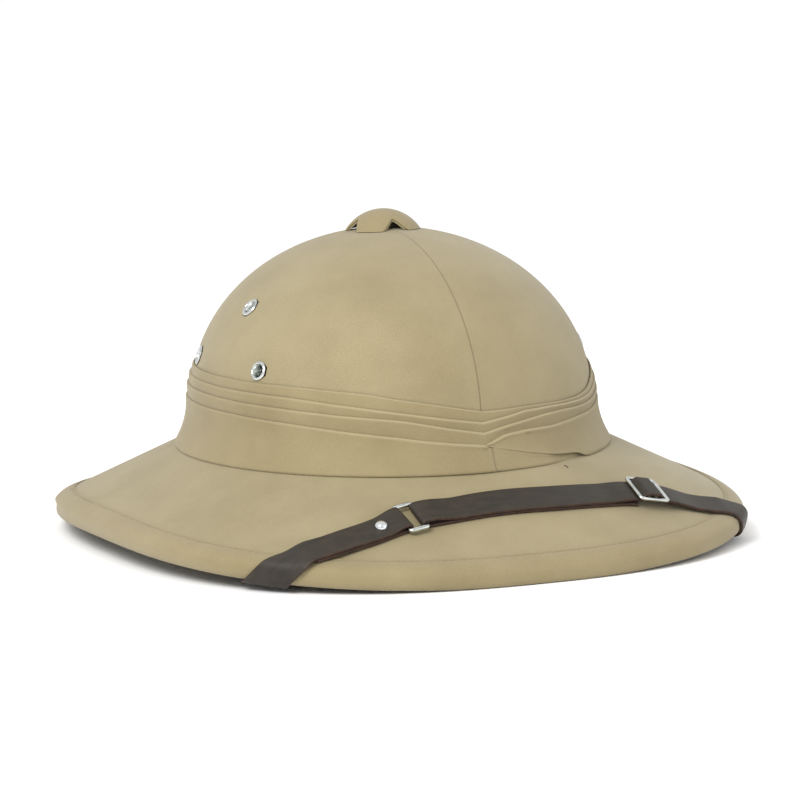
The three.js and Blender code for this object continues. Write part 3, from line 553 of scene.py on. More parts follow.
def leather_face(name):
    """Dark brown grain side, smooth and a little worn."""
    look = Look(name)
    place = look.weave()
    cells = look.node("TexVoronoi", {"Vector": place, "Scale": 1.35}, feature="DISTANCE_TO_EDGE")
    fine = look.noise(place, 2.6, 3.0)
    wear = look.noise(look.mapped(place, (0.09, 0.3, 1)), 1.0, 4.0, 0.6)
    colour = look.blended(look.within(wear, 0.34, 0.7), linear(36, 31, 24), linear(51, 45, 36))
    rubbed = look.maths("MULTIPLY", look.painted_light_and_wear(), look.spread(fine, 0.2, 0.8), clamp=True)
    colour = look.blended(rubbed, colour, linear(70, 51, 38))
    height = look.weighted(look.within(cells, 0.0, 0.16), 0.6, fine, 0.6)
    rough = look.spread(wear, 0.42, 0.6)
    return look.finish(colour, rough, height, 0.00012, 0.35, {"Specular IOR Level": 0.3})


def leather_cut(name):
    """Reddish brown cut edge and flesh side, fibrous and dull."""
    look = Look(name)
    place = look.weave()
    fibres = look.noise(look.mapped(place, (0.7, 3.0, 1)), 1.0, 4.0, 0.65)
    patches = look.noise(place, 0.22, 3.0)
    share = look.maths("MULTIPLY", look.maths("ADD", fibres, patches), 0.5)
    colour = look.blended(look.within(share, 0.36, 0.64), linear(30, 21, 14), linear(72, 48, 34))
    return look.finish(colour, look.spread(fibres, 0.7, 0.92), fibres, 0.0002, 0.5, {})


def metal(name, light, dark, rough, relief=0.12, metallic=1.0):
    """Plated metal with fine polishing marks and slight handling wear."""
    look = Look(name)
    body = look.body()
    marks = look.noise(look.mapped(body, (300, 1800, 900)), 1.0, 3.0, 0.6)
    patches = look.noise(body, 260.0, 3.0, 0.6)
    colour = look.blended(look.within(patches, 0.35, 0.65), dark, light)
    worn = look.spread(look.weighted(marks, 0.5, patches, 0.5), *rough)
    return look.finish(colour, worn, marks, 0.00004, relief, {"Metallic": metallic})


THREAD_ROUGH = (0.6, 0.75)
CLOTH = cloth("cloth_khaki", linear(148, 136, 104), linear(129, 117, 85))
CLOTH_BAND = cloth("cloth_band", linear(144, 131, 98), linear(125, 112, 79), twill_turn=32.0)
CLOTH_INSIDE = cloth("cloth_inside", linear(137, 126, 97), linear(117, 106, 78), relief=0.5)
THREAD = cloth("thread_khaki", linear(152, 140, 108), linear(133, 120, 88), rough=THREAD_ROUGH, relief=0.3)
THREAD_DARK = cloth("thread_dark", linear(62, 52, 34), linear(44, 36, 24), rough=THREAD_ROUGH, relief=0.3)
LEATHER = leather_face("leather_dark_brown")
LEATHER_CUT = leather_cut("leather_cut_edge")
NICKEL = metal("nickel", linear(208, 210, 207), linear(176, 180, 176), (0.12, 0.28))
CHROME = metal("nickel_polished", linear(216, 218, 219), linear(196, 198, 200), (0.05, 0.12), relief=0.05)
# Nickel painted dark brown and dull: painted shade for the post, which stands in the shade inside the vent
# cap
NICKEL_PAINTED_SHADE = metal("nickel_painted_shade", linear(62, 54, 40), linear(40, 35, 27), (0.7, 0.85), metallic=0.2)


# Crown
def eyelet_frames():
    made = []
    low = BAND_HEIGHT + BAND_FOOT_LIFT + EYELET_ABOVE_BAND + EYELET_FLANGE / 2
    for side, sign, middle in EYELET_SIDES:
        for row, turn, rise in EYELET_ROWS:
            azimuth, height = sign * math.radians(middle + turn), low + rise * EYELET_SPREAD
            place = surface_frame(crown_point(azimuth, height), crown_normal(azimuth, height))
            made.append((f"eyelet_{side}_{row}", place))
    return made


def opened(points, faces, frames):
    """Moves grid points out of round holes. Returns the points and the faces that stay."""
    hole, reach = EYELET_OPENING, EYELET_OPENING_REACH
    keep = np.ones(len(faces), bool)
    for point, normal, along in frames:
        across = np.cross(normal, along)
        offset = points - point
        x, y, depth = offset @ along, offset @ across, offset @ normal
        distance = np.hypot(x, y)
        near = (distance < reach) & (np.abs(depth) < reach)
        wider = (hole + distance * (reach - hole) / reach) / np.maximum(distance, 1e-6)
        shift = np.where(near, wider - 1, 0)[:, None]
        points = points + shift * (x[:, None] * along + y[:, None] * across)
        x, y = (points - point) @ along, (points - point) @ across
        a = np.stack([x[faces], y[faces]], -1)
        b = np.roll(a, -1, axis=1)
        line = b - a
        t = np.clip(-(a * line).sum(-1) / np.maximum((line**2).sum(-1), 1e-9), 0, 1)
        closest = np.linalg.norm(a + t[..., None] * line, axis=-1).min(1)
        here = (np.abs((points - point) @ normal)[faces] < reach).all(1)
        keep &= ~(here & (closest < EYELET_BORE / 2 + EYELET_METAL))
    return points, keep


def panel_turns(radius):
    """Columns round the crown, closer together beside the front and back seams."""
    beside = np.array([0, 0.2, 0.42, 0.7, 1.1, 1.8, 2.9, 4.4])
    near = beside / max(radius, 14.0)
    between = np.linspace(near[-1], math.pi - near[-1], CROWN_COLUMNS)[1:-1]
    half = np.concatenate([near, between, math.pi - near[::-1]])
    return np.concatenate([half, math.pi + half[1:-1]])


def seam_relief(turn, radius):
    distance = np.minimum(np.abs(np.sin(turn)), 1) * radius
    # The relief raises the cloth beside the seam and sinks its groove; the second value is painted shade
    # along the groove
    return 0.16 * hump(distance, 2.4) - 0.3 * hump(distance, 0.3), 0.75 * hump(distance, 0.34)


def crown_weave(point):
    """The cloth of each side panel, laid out flat from the middle of that side."""
    size = CROWN_WIDTH / 2
    x = point[..., 0]
    y = point[..., 1] - CROWN_SET_BACK
    z = point[..., 2] - SEAT_HEIGHT - CROWN_WALL
    away = np.hypot(y, z)
    spin = size * np.arctan2(away, np.abs(x))
    away = np.maximum(away, 1e-6)
    return np.stack([spin * y / away, spin * z / away], -1)


def crown_piece(frames):
    foot = np.concatenate([[-BRIM_BOARD], np.linspace(0, CROWN_WALL, CROWN_FOOT_ROWS)[:-1]])
    angle = np.linspace(0, math.pi / 2, CROWN_ROWS)
    rise, share = np.sin(angle) ** (2 / CROWN_ROUNDING), np.cos(angle) ** (2 / CROWN_ROUNDING)
    share[-1] = 0

    def surface(inset, seams):
        rows, marks = [], []
        for z in foot:
            rows.append((crown_radius(max(z, 0.0)) - inset, z))
        for lift, size in zip(rise, share):
            z = CROWN_WALL + CROWN_DOME * lift
            rows.append(((CROWN_WIDTH / 2 - inset) * size + foot_spread(z), z - inset * lift))
        made = []
        for radius, z in rows:
            turn = panel_turns(radius)
            relief, mark = seam_relief(turn, radius)
            fade = np.clip(radius / 14, 0, 1)
            made.append(on_crown(turn, radius + (relief * fade if seams else 0), z))
            marks.append(mark * fade if seams else mark * 0)
        return np.array(made), np.array(marks)

    outer, marks = surface(0.0, True)
    inner, _ = surface(CROWN_SHELL, False)
    rows, cols = outer.shape[:2]
    r, c = np.indices((rows - 1, cols))
    faces = cell_faces(r, c, rows, cols)
    outside, keep = opened(outer.reshape(-1, 3), faces, frames)
    inside, _ = opened(inner.reshape(-1, 3), faces, frames)
    faces = faces[keep]
    edges = np.concatenate([faces[:, [k, (k + 1) % 4]] for k in range(4)])
    _, first, uses = np.unique(np.sort(edges, axis=1), axis=0, return_index=True, return_counts=True)
    rim = edges[first[uses == 1]]
    flat = np.linalg.norm(outside[rim[:, 0]] - outside[rim[:, 1]], axis=1) > 1e-6
    rim = rim[flat]
    count = len(outside)
    walls = np.stack([rim[:, 1], rim[:, 0], rim[:, 0] + count, rim[:, 1] + count], -1)
    every = np.concatenate([faces, faces[:, ::-1] + count, walls])
    points = np.concatenate([outside, inside])
    shape = Shape()
    tags = [0] * len(faces) + [1] * (len(faces) + len(walls))
    marks = np.concatenate([marks.ravel(), marks.ravel() * 0])
    shape.add(points, every, crown_weave(points)[every].reshape(-1, 2), tags, marks)
    return shape.piece("crown_cloth", [CLOTH, CLOTH_INSIDE], sharp=50)


# Brim and hem
def brim_piece():
    turn = full_turn(BRIM_COLUMNS)
    reach = np.linspace(0, 1, BRIM_ROWS)[:, None]
    widest = 1 - (HEM_ROLL + GAP) / brim_overhang(turn)
    top = brim_point(turn[None, :], reach * widest)
    under = top.copy()
    under[..., 2] -= BRIM_BOARD
    edge = (top[-1:] + under[-1:]) / 2
    foot = (top[:1] + under[:1]) / 2
    points = np.concatenate([foot, top, edge, under[::-1]])
    across = metres_along(points, 0)
    across = np.concatenate([across, across[-1:] + BRIM_BOARD / 2])
    across = np.concatenate([across, across[:, :1]], axis=1)
    around = np.broadcast_to(np.linspace(0, 2 * math.pi, len(turn) + 1) * 130, across.shape)
    shape = Shape()
    tags = np.array([0 if i <= len(reach) else 1 for i in range(len(points))])[:, None]
    shape.grid(points, np.stack([around, across], -1), wrap_rows=True, wrap_cols=True, tags=tags)
    return shape.piece("brim_cloth", [CLOTH, CLOTH_INSIDE], sharp=50)


def hem_place(turn, inboard, level):
    """A place on the hem, from its section."""
    place = brim_point(turn, 1 - inboard / brim_overhang(turn))
    edge = brim_point(turn, 1.0)
    follow = np.clip((level + HEM_DEPTH) / (HEM_DEPTH - BRIM_BOARD - HEM_RISE), 0, 1)
    z = lerp(edge[..., 2], place[..., 2], follow) + level
    return vec(place[..., 0], place[..., 1], np.maximum(z, 0))


def hem_piece():
    turn = full_turn(HEM_COLUMNS)[None, :]
    section = spline(HEM_SECTION, HEM_ROWS, closed=True)[:-1]
    inboard, level = section[:, :1], section[:, 1:]
    face = hump(level + 2.5, 3.5) * (inboard < 3.2)
    soft = 0.12 * wander(turn, 3, (5, 9, 14, 23, 37)) * face
    puff = 0.1 * wander(turn, 4, (7, 12, 19, 31, 55)) * hump(inboard - 5, 2.2) * (level > 0)
    tip = hump((turn - math.radians(HEM_LIP_TURN)) / math.radians(9), 1)
    box = hump((turn - math.radians(HEM_LIP_TURN)) / math.radians(20), 1)
    lip = (inboard < 3.4) * (tip * (0.25 * hump(level + 2.6, 0.8) - 0.95 * hump(level + 0.5, 0.95))
                             - box * 0.5 * hump(level + 6.3, 1.6))
    points = hem_place(turn, inboard - soft + lip, level + puff)
    length = np.linspace(0, 2 * math.pi, turn.size + 1) * 158
    weave = np.stack(np.meshgrid(length, round_along(section)), -1)
    # Painted shade in the dip where the stitching pulls the cloth down
    painted_light_and_wear = np.clip(0.4 * hump(inboard - STITCH_INBOARD, 0.3) * (level > 0), 0, 1)
    painted_light_and_wear = np.broadcast_to(painted_light_and_wear, points.shape[:2])
    shape = Shape()
    shape.grid(points, weave, wrap_rows=True, wrap_cols=True, painted_light_and_wear=painted_light_and_wear)
    return shape.piece("brim_hem", [CLOTH_BAND], sharp=60)


def thread(shape, start, stop, normal, radius):
    """A stitch: a short thread that dives into the cloth at both ends."""
    sides = 8
    along = unit(stop - start)
    side = unit(np.cross(normal, along))
    rows = np.linspace(0, 1, 7)
    bow = np.sin(rows * math.pi) ** 0.6
    angle = full_turn(sides)
    lift = radius * (1.3 * bow[:, None] - 0.9)
    centre = start[None] + (stop - start)[None] * rows[:, None] + normal[None] * lift
    size = radius * (0.35 + 0.65 * bow)
    ring = np.cos(angle)[None, :, None] * side + np.sin(angle)[None, :, None] * normal
    points = centre[:, None, :] + ring * size[:, None, None]
    length = np.linalg.norm(stop - start)
    weave = np.stack(np.meshgrid(np.linspace(0, 2 * math.pi * radius, sides + 1), rows * length), -1)
    shape.grid(points, weave, wrap_cols=True)
    for ring_points in (points[0], points[-1]):
        shape.fan(ring_points, np.zeros((sides, 2)))


def stitching_piece():
    fine = np.linspace(0, 2 * math.pi, 2881)
    line = hem_place(fine, STITCH_INBOARD, STITCH_LEVEL)
    length = metres_along(line, 0)
    count = int(length[-1] / STITCH_PITCH)
    starts = np.linspace(0, length[-1], count, endpoint=False)
    shape = Shape()
    for start in starts:
        turns = [np.interp(at % length[-1], length, fine) for at in (start, start + STITCH_LENGTH)]
        ends = [hem_place(turn, STITCH_INBOARD, STITCH_LEVEL) for turn in turns]
        normal = brim_normal(turns[0], 1 - STITCH_INBOARD / brim_overhang(turns[0]))
        thread(shape, *ends, normal, STITCH_RADIUS)
    return shape.piece("hem_stitching", [THREAD], sharp=60, weld=0.0005)


# Pleated band
def fold_heights(table, azimuth):
    """Heights of the foot and the four folds at each azimuth: 5 x count."""
    rows = [through(table[:, 0], table[:, k], azimuth) for k in range(1, 6)]
    return BAND_HEIGHT * np.array(rows)


# From the top fold down: level, height above that level, how far out the face is, and its tone, which is
# painted shade above 0, in the crease above a fold, and painted highlight below 0, on a fold edge
BAND_ROWS = np.array([
    (4, -0.9, 0.02, 0), (4, -0.25, 0, 0), (4, 0.02, 0.3, 0), (4, 0, 0.62, -0.5), (4, -0.25, 0.86, -0.7),
    (4, -0.8, 0.92, 0), (3, 1.6, 0.95, 0), (3, 0.6, 0.88, 0.15), (3, 0.16, 0.82, 0.8), (3, 0.05, 1.1, 0.3),
    (3, -0.14, 1.5, -0.9), (3, -0.55, 1.7, -0.7), (3, -1.3, 1.72, 0),
    (2, 1.6, 1.4, 0), (2, 0.6, 1.26, 0.15), (2, 0.16, 1.18, 0.8), (2, 0.05, 1.5, 0.3), (2, -0.14, 1.9, -0.9),
    (2, -0.55, 2.06, -0.7), (2, -1.3, 2.06, 0),
    (1, 1.8, 1.62, 0), (1, 0.6, 1.42, 0.15), (1, 0.16, 1.36, 0.8), (1, 0.05, 1.7, 0.3), (1, -0.14, 2.1, -0.9),
    (1, -0.55, 2.26, -0.7), (1, -1.4, 2.26, 0),
])
BAND_PLAIN = np.array([(0.86, 2.16), (0.72, 2.06), (0.58, 2.0), (0.44, 1.98), (0.3, 1.98), (0.18, 2.02)])
# The foot: its height where it rests on the brim and where it is raised over the other half, how far out
# it is, and its tone where it is raised: painted highlight below 0 along the raised edge, painted shade above
# 0 beneath it
BAND_FOOT = np.array([
    (0.4, 0.8, 2.08, -0.2), (-0.5, 0.3, 2.04, -0.9), (-1.12, 0.03, 1.72, -0.6), (-1.2, 0, 1.2, 0.2),
    (-0.8, 0.05, 0.6, 0), (-0.3, 0.1, 0.2, 0), (0.4, 0.7, 0, 0),
])
# The tacking stitch: azimuth and reach of its two ends
TACK = ((23.5, 0.044), (23.9, 0.088))
TACK_RADIUS = 0.3
TAIL_HIDDEN = 1.5


def band_rows(heights, azimuth, seed):
    """The band's face at each azimuth: heights is 5 x count, from the foot to the top fold."""
    turn = np.radians(azimuth)
    spacing = np.diff(heights, axis=0)
    side = smooth(0, 1, (np.abs(azimuth) - 30) / 45)
    rows, outs, marks = [], [], []
    for level, offset, out, tone in BAND_ROWS:
        k = int(level)
        room = spacing[k - 1] if offset < 0 else (spacing[k] if k < 4 else spacing[k - 1])
        squeeze = np.clip(room / 3.6, 0.05, 1)
        wave = 0.14 * wander(turn, seed + k, (9, 14, 22, 35)) * np.clip(room / 3, 0, 1)
        rows.append(heights[k] + offset * squeeze + wave)
        outs.append(out + 0.07 * wander(turn, seed + 10 + k, (4, 7, 11, 19)))
        # Painted shade in the creases is stronger round the sides, painted highlight on the fold edges
        # stronger at the front
        strength = lerp(0.35, 1, side) if tone > 0 else lerp(1, 0.3, side)
        marks.append(tone * strength * np.clip(room / 2, 0, 1))
    for share, out in BAND_PLAIN:
        rows.append(lerp(heights[0], heights[1], share))
        outs.append(out + 0.12 * wander(turn, seed + 20, (4, 7, 11, 19)) * math.sin(share * math.pi))
        marks.append(np.zeros(len(turn)))
    raised = smooth(0, 1, heights[0] / 1.5)
    for rest, lifted, out, tone in BAND_FOOT:
        rows.append(heights[0] + lerp(rest * np.clip(spacing[0] / 3, 0.3, 1), lifted, raised))
        outs.append(np.full(len(turn), out))
        marks.append(tone * raised)
    return np.array(rows), np.array(outs), np.array(marks)


def band_half(name, azimuth, heights, seed, shown):
    """shown gives rows and outs their final place near the crossing."""
    rows, outs, marks = shown(azimuth, *band_rows(heights, azimuth, seed))
    back = lerp(rows[-1], rows[0], np.linspace(0, 1, 8)[1:-1, None])
    rows = np.concatenate([rows, back])
    outs = np.concatenate([outs, np.zeros_like(back)])
    marks = np.concatenate([marks, np.zeros_like(back)])
    turn = np.radians(azimuth)[None, :]
    points = crown_point(turn, rows + BAND_FOOT_LIFT, GAP + np.maximum(outs, 0))
    v = np.concatenate([metres_along(points, 0), metres_along(points, 0)[-1:] + 5])
    u = np.broadcast_to(metres_along(points, 1)[len(BAND_ROWS) + 2], v.shape)
    shape = Shape()
    shape.grid(points, np.stack([u, v], -1), wrap_rows=True, painted_light_and_wear=marks)
    for column in (0, -1):
        shape.fan(points[:, column], np.stack([outs[:, column], rows[:, column]], -1))
    return shape.piece(name, [CLOTH_BAND], sharp=62, weld=0.002)


def right_shown(azimuth, rows, outs, marks):
    """Past the front the right half thins under the left one, and its tail is plain."""
    folds = len(BAND_ROWS)
    inside = smooth(1, 0.55, azimuth / TAIL_HIDDEN)
    outs[:folds] *= inside
    outs[folds:] *= smooth(1, 0.9, (azimuth + TAIL_HIDDEN) / 3) * smooth(1, 0.84, azimuth / 9)
    outs[folds:] *= smooth(1, 0.3, (azimuth - 18) / 10)
    tail = smooth(0, 1, (azimuth - TAIL_HIDDEN) / 0.7)
    outs[2:folds] = lerp(outs[2:folds], outs[folds], tail)
    marks[:folds] *= 1 - smooth(0, 1, azimuth / 0.5)
    return rows, outs, marks


def left_shown(azimuth, rows, outs, marks):
    return rows, outs * smooth(0.5, 1, (azimuth + TAIL_HIDDEN) / TAIL_HIDDEN), marks


def band_pieces():
    back = 180 - BAND_BACK_SPLIT
    right_turns = np.concatenate([np.arange(-back, 0, 0.75), [0.0]])
    tail_turns = np.array([
        0.3, 0.6, 0.9, 1.2, 1.5, 1.7, 1.95, 2.2, 3, 4.5, 6, 7.5, 10, 12.5, 15, 18, 22, 26, 30,
    ])
    azimuth = np.concatenate([right_turns, tail_turns])
    heights = fold_heights(RIGHT_FOLDS, np.clip(-azimuth, 0, 180))
    lowest = np.maximum(fold_heights(LEFT_FOLDS, np.maximum(azimuth, 0))[0] + 0.5, GAP)
    share = np.array([0, 0.9, 0.94, 0.97, 1])[:, None]
    heights = lerp(heights, lowest * share, smooth(0, 1, (azimuth - TAIL_HIDDEN) / 0.7))
    right = band_half("band_right", azimuth, heights, 40, right_shown)
    azimuth = np.concatenate([[-1.5, -1, -0.5, 0], np.arange(0.75, back, 0.75), [back]])
    left = band_half("band_left", azimuth, fold_heights(LEFT_FOLDS, np.maximum(azimuth, 0)), 70, left_shown)
    return right, left


def tack_piece():
    """One dark tacking stitch at the foot of the band."""
    places = [brim_point(math.radians(turn), reach) for turn, reach in TACK]
    normal = brim_normal(math.radians(TACK[0][0]), TACK[0][1])
    shape = Shape()
    thread(shape, *places, normal, TACK_RADIUS)
    return shape.piece("band_tack", [THREAD_DARK], sharp=60, weld=0.0005)


# Ventilator cap
def cap_frame():
    y = CROWN_SET_BACK + CAP_SET_BACK
    step = 0.5
    fall = (crown_height_at(0, y + step) - crown_height_at(0, y - step)) / (2 * step)
    return np.array([0, y, crown_height_at(0, y)]), unit(np.array([0, -fall, 1.0])), np.array([1.0, 0, 0])


# The cap's cut edge, two cloths thick: depth as a share of the wall, how far in it is pulled, and tone:
# painted shade above 0 in the groove between the two cloths, painted highlight below 0 on their edges
CAP_EDGE = np.array([
    (0.1, 0.02, -0.4), (0.3, -0.05, -0.7), (0.42, 0.1, 0.6), (0.5, 0.7, 1), (0.58, 0.15, 0.6),
    (0.72, 0.05, -0.5), (0.92, 0.2, -0.2),
])


def cap_reach(angle, sphere, centre):
    """How far out the cap reaches at each angle: its rim, or the edge of an arch."""
    radius = CAP_WIDTH / 2
    distance = np.linspace(0.2, radius, 600)
    height = centre + np.sqrt(sphere**2 - distance**2)
    flat = CAP_ARCH_WIDTH / 30
    down = np.clip((CAP_ARCH_HEIGHT - height) / (CAP_ARCH_HEIGHT + CAP_SKIRT), 0, 1)
    half = np.where(height < CAP_ARCH_HEIGHT, lerp(flat, CAP_ARCH_WIDTH / 2 + 0.5, down**0.9), 0)
    quarter = 2 * math.pi / CAP_ARCHES
    off = np.abs((angle + quarter / 2) % quarter - quarter / 2)
    cut = distance[None, :] * np.sin(off)[:, None] < half[None, :]
    first = np.where(cut.any(1), cut.argmax(1), len(distance) - 1)
    return distance[first]


def cap_piece(frame):
    radius = CAP_WIDTH / 2
    drop = CAP_RISE + CAP_SKIRT
    sphere = (radius**2 + drop**2) / (2 * drop)
    centre = CAP_RISE - sphere
    angle = full_turn(CAP_COLUMNS)
    reach = cap_reach(angle, sphere, centre)
    steps = np.concatenate([np.linspace(0, 0.9, 16), [0.94, 0.97, 0.99]])[:, None]

    def layer(size, share, pull=0.0):
        distance = reach[None, :] * share - pull * np.clip(share * 2 - 1, 0, 1)
        distance = np.maximum(distance, 0)
        height = centre + np.sqrt(size**2 - np.minimum(distance, size * 0.98) ** 2)
        return vec(distance * np.cos(angle), distance * np.sin(angle), height)

    outer = layer(sphere, steps)
    rim = [layer(sphere - CAP_WALL * deep, np.array([[1.0]]), pull) for deep, pull, _ in CAP_EDGE]
    inner = layer(sphere - CAP_WALL, steps[::-1], 0.5)
    local = np.concatenate([outer, *rim, inner])
    points = in_frame(local, frame)
    floor = crown_height_at(points[..., 0], points[..., 1]) + GAP
    points[..., 2] = np.maximum(points[..., 2], floor)
    shape = Shape()
    weave = np.stack([local[..., 0], local[..., 1]], -1)
    weave = np.concatenate([weave, weave[:, :1]], axis=1)
    mark = np.zeros(points.shape[:2])
    # Painted shade and painted highlight along the cut edge, from CAP_EDGE's tone
    mark[len(steps):len(steps) + len(CAP_EDGE)] = CAP_EDGE[:, 2:]
    tags = np.array([0] * (len(steps) + len(CAP_EDGE) - 1) + [1] * len(steps))[:len(points) - 1, None]
    shape.grid(points, weave, wrap_cols=True, tags=tags, painted_light_and_wear=mark)
    return shape.piece("vent_cap_cloth", [CLOTH_BAND, CLOTH_INSIDE], sharp=60)


# Eyelets
def eyelet_piece(name, frame):
    bore, barrel, flange = EYELET_BORE / 2, EYELET_BORE / 2 + EYELET_METAL, EYELET_FLANGE / 2
    inside = -CROWN_SHELL - INSIDE_PLAY
    low = 1.2 * GAP
    profile = [
        (bore * 0.66, inside - EYELET_METAL), (bore * 0.7, inside), (bore * 0.86, -1.4), (bore + 0.1, 0.1),
        (bore + 0.3, 0.5), (bore + 0.46, 0.86), (bore + 0.7, 1.06), (bore + 0.98, 1.12), (bore + 1.28, 1.04),
        (bore + 1.55, 0.84), (flange - 0.1, 0.6), (flange, low + 0.08), (flange - 0.06, low), (barrel, low),
        (barrel, inside), (flange, inside), (flange, inside - EYELET_METAL),
    ]
    return lathe(profile, frame).piece(f"{name}_metal", [NICKEL], sharp=42)


# Strap
RIB_PLACES = np.linspace(-STRAP_WIDTH / 2, STRAP_WIDTH / 2, 9)


def straight_rib(point, normal, along):
    across = unit(np.cross(normal, along))
    return point + across * RIB_PLACES[:, None], np.broadcast_to(normal, (len(RIB_PLACES), 3))


def route_frames():
    plan = spline(STRAP_ROUTE * np.array([math.pi / 180, 1]), ROUTE_STEPS)
    turn, reach = plan[:, 0], plan[:, 1]
    normal = brim_normal(turn, reach)
    inboard = (1 - reach) * brim_overhang(turn)
    climb = smooth(HEM_RISE + HEM_PLAY, 0, (inboard - HEM_WIDTH) / (HEM_WIDTH * 2.5))
    point = brim_point(turn, reach) + normal * climb[:, None]
    return point, normal, direction(point), inboard, turn


def wrap_line():
    """The hem's section as the strap sees it: length, out, up and tilt."""
    rows = spline(STRAP_WRAP, WRAP_STEPS)
    out, up, tilt = -rows[:, 0] * HEM_WIDTH, rows[:, 1] * HEM_DEPTH, np.radians(rows[:, 2])
    length = np.concatenate([[0], np.cumsum(np.hypot(np.diff(out), np.diff(up)))])
    return length, out, up, tilt


def wrap_section(v, line):
    length, out, up, tilt = line
    left = v - out[0] / math.sin(tilt[0])
    before, after = np.minimum(left, 0), np.maximum(left - length[-1], 0)
    inside = np.clip(left, 0, length[-1])
    found_out = np.interp(inside, length, out) + before * math.sin(tilt[0]) - after
    found_up = np.interp(inside, length, up) - before * math.cos(tilt[0])
    return found_out, found_up, np.interp(inside, length, tilt)


def wrap_ribs(along, sign):
    azimuth = math.radians(STRAP_ROUTE[0, 0] if sign < 0 else STRAP_ROUTE[-1, 0])
    step = 0.01

    def edge_at(turn):
        return brim_point(turn, np.ones_like(turn))

    def outward_at(turn):
        run = edge_at(turn + step) - edge_at(turn - step)
        run[..., 2] = 0
        run = unit(run)
        return vec(run[..., 1], -run[..., 0], 0)

    here = np.array(azimuth)
    run = edge_at(here + step) - edge_at(here - step)
    speed = np.linalg.norm(run) / (2 * step)
    line = wrap_line()
    slope = line[3][0]
    up = np.array([0, 0, 1.0])
    downhill = outward_at(here) * math.sin(slope) - up * math.cos(slope)
    heading = along * sign
    slant = math.atan2(heading @ unit(run), heading @ downhill)
    ribs = []
    courses = np.linspace(-HEM_WIDTH, HEM_DEPTH + HEM_WIDTH * 1.1, WRAP_RIBS) / math.cos(slant)
    for course in courses:
        u = course * math.sin(slant) + sign * RIB_PLACES * math.cos(slant)
        v = course * math.cos(slant) - sign * RIB_PLACES * math.sin(slant)
        turn = azimuth + u / speed
        out, rise, tilt = wrap_section(v, line)
        side = outward_at(turn)
        normal = side * np.cos(tilt)[:, None] + up * np.sin(tilt)[:, None]
        ribs.append((edge_at(turn) + side * out[:, None] + up * rise[:, None] + normal * HEM_PLAY, normal))
    return ribs


def stud_frame(sign):
    turn = sign * math.radians(STUD_TURN)
    outside = crown_normal(turn, STUD_HEIGHT) * np.array([1, 1, 0])
    return surface_frame(crown_point(turn, STUD_HEIGHT, -CROWN_SHELL), -unit(outside))


def inside_ribs(start, sign):
    def inward(point):
        return unit(np.array([-point[0], CROWN_SET_BACK - point[1], 0]))

    rim = crown_point(sign * math.radians(RIM_CROSSING), 0.0, -CROWN_SHELL) - np.array([0, 0, BRIM_BOARD])
    under = inward(rim) * 0.8 - np.array([0, 0, 0.6])
    stud_point, stud_normal, _ = stud_frame(sign)
    end = crown_point(sign * math.radians(STUD_TURN + 7), STUD_HEIGHT + STRAP_WIDTH * 0.1, -CROWN_SHELL)
    places = [
        (rim + under * GAP * 6, under),
        (stud_point + stud_normal * INSIDE_PLAY, stud_normal),
        (end + inward(end) * INSIDE_PLAY, inward(end)),
    ]
    ribs = []
    for i, (point, normal) in enumerate(places):
        previous = places[i - 1][0] if i else start
        following = places[min(i + 1, len(places) - 1)][0]
        along = (following - previous) * sign
        along = unit(along - normal * (along @ normal))
        ribs.append(straight_rib(point, normal, along))
    return ribs


class Track:
    """The strap's bed, from the right stud to the left one."""

    def __init__(self):
        point, normal, along, inboard, turn = route_frames()
        ends = []
        for sign, last in ((-1, 0), (1, -1)):
            wrap = wrap_ribs(along[last], sign)
            middle = wrap[-1][0][len(RIB_PLACES) // 2]
            ends.append([*wrap, *inside_ribs(middle, sign)])
        is_open = inboard > HEM_WIDTH + STRAP_WIDTH * 0.3
        over = [straight_rib(p, n, a) for p, n, a in zip(point[is_open], normal[is_open], along[is_open])]
        ribs = [*ends[0][::-1], *over, *ends[1]]
        self.points = np.array([p for p, _ in ribs])
        self.normals = np.array([n for _, n in ribs])
        self.at = metres_along(self.points[:, len(RIB_PLACES) // 2], 0)
        self.length = self.at[-1]
        self.open_at = self.at[len(ends[0]):len(ends[0]) + len(over)]
        self.open_turn = turn[is_open]

    def azimuth(self, degrees):
        return float(np.interp(math.radians(degrees), self.open_turn, self.open_at))

    def place(self, at, across):
        at, across = np.broadcast_arrays(np.asarray(at, float), np.asarray(across, float))
        i = np.clip(np.searchsorted(self.at, at) - 1, 0, len(self.at) - 2)
        t = ((at - self.at[i]) / (self.at[i + 1] - self.at[i]))[..., None]
        cell = (across / STRAP_WIDTH + 0.5) * (len(RIB_PLACES) - 1)
        j = np.clip(cell.astype(int), 0, len(RIB_PLACES) - 2)
        w = (cell - j)[..., None]

        def mixed(values):
            near = lerp(values[i, j], values[i, j + 1], w)
            return lerp(near, lerp(values[i + 1, j], values[i + 1, j + 1], w), t)

        return mixed(self.points), unit(mixed(self.normals))

    def frame(self, at, lift):
        point, normal = self.place(at, 0.0)
        run = self.place(at + 1, 0.0)[0] - self.place(at - 1, 0.0)[0]
        return point + normal * lift, normal, unit(run - normal * (run @ normal))


def strap_section():
    """The leather's outline across: place across and place through it."""
    half, thick, corner = STRAP_WIDTH / 2, STRAP_LEATHER / 2, 0.3
    flat = np.linspace(-half + corner, half - corner, 11)
    angle = np.linspace(math.pi / 2, -math.pi / 2, 7)[1:-1]
    right = []
    for a in angle:
        level = np.sign(math.sin(a)) * (thick - corner) * (abs(math.sin(a)) > 0.01)
        right.append((half - corner + corner * math.cos(a), level + corner * math.sin(a)))
    top = [(x, thick) for x in flat]
    left = [(-x, y) for x, y in right[::-1]]
    bottom = [(x, -thick) for x in flat[::-1]]
    return np.array([*top, *right, *bottom, *left])


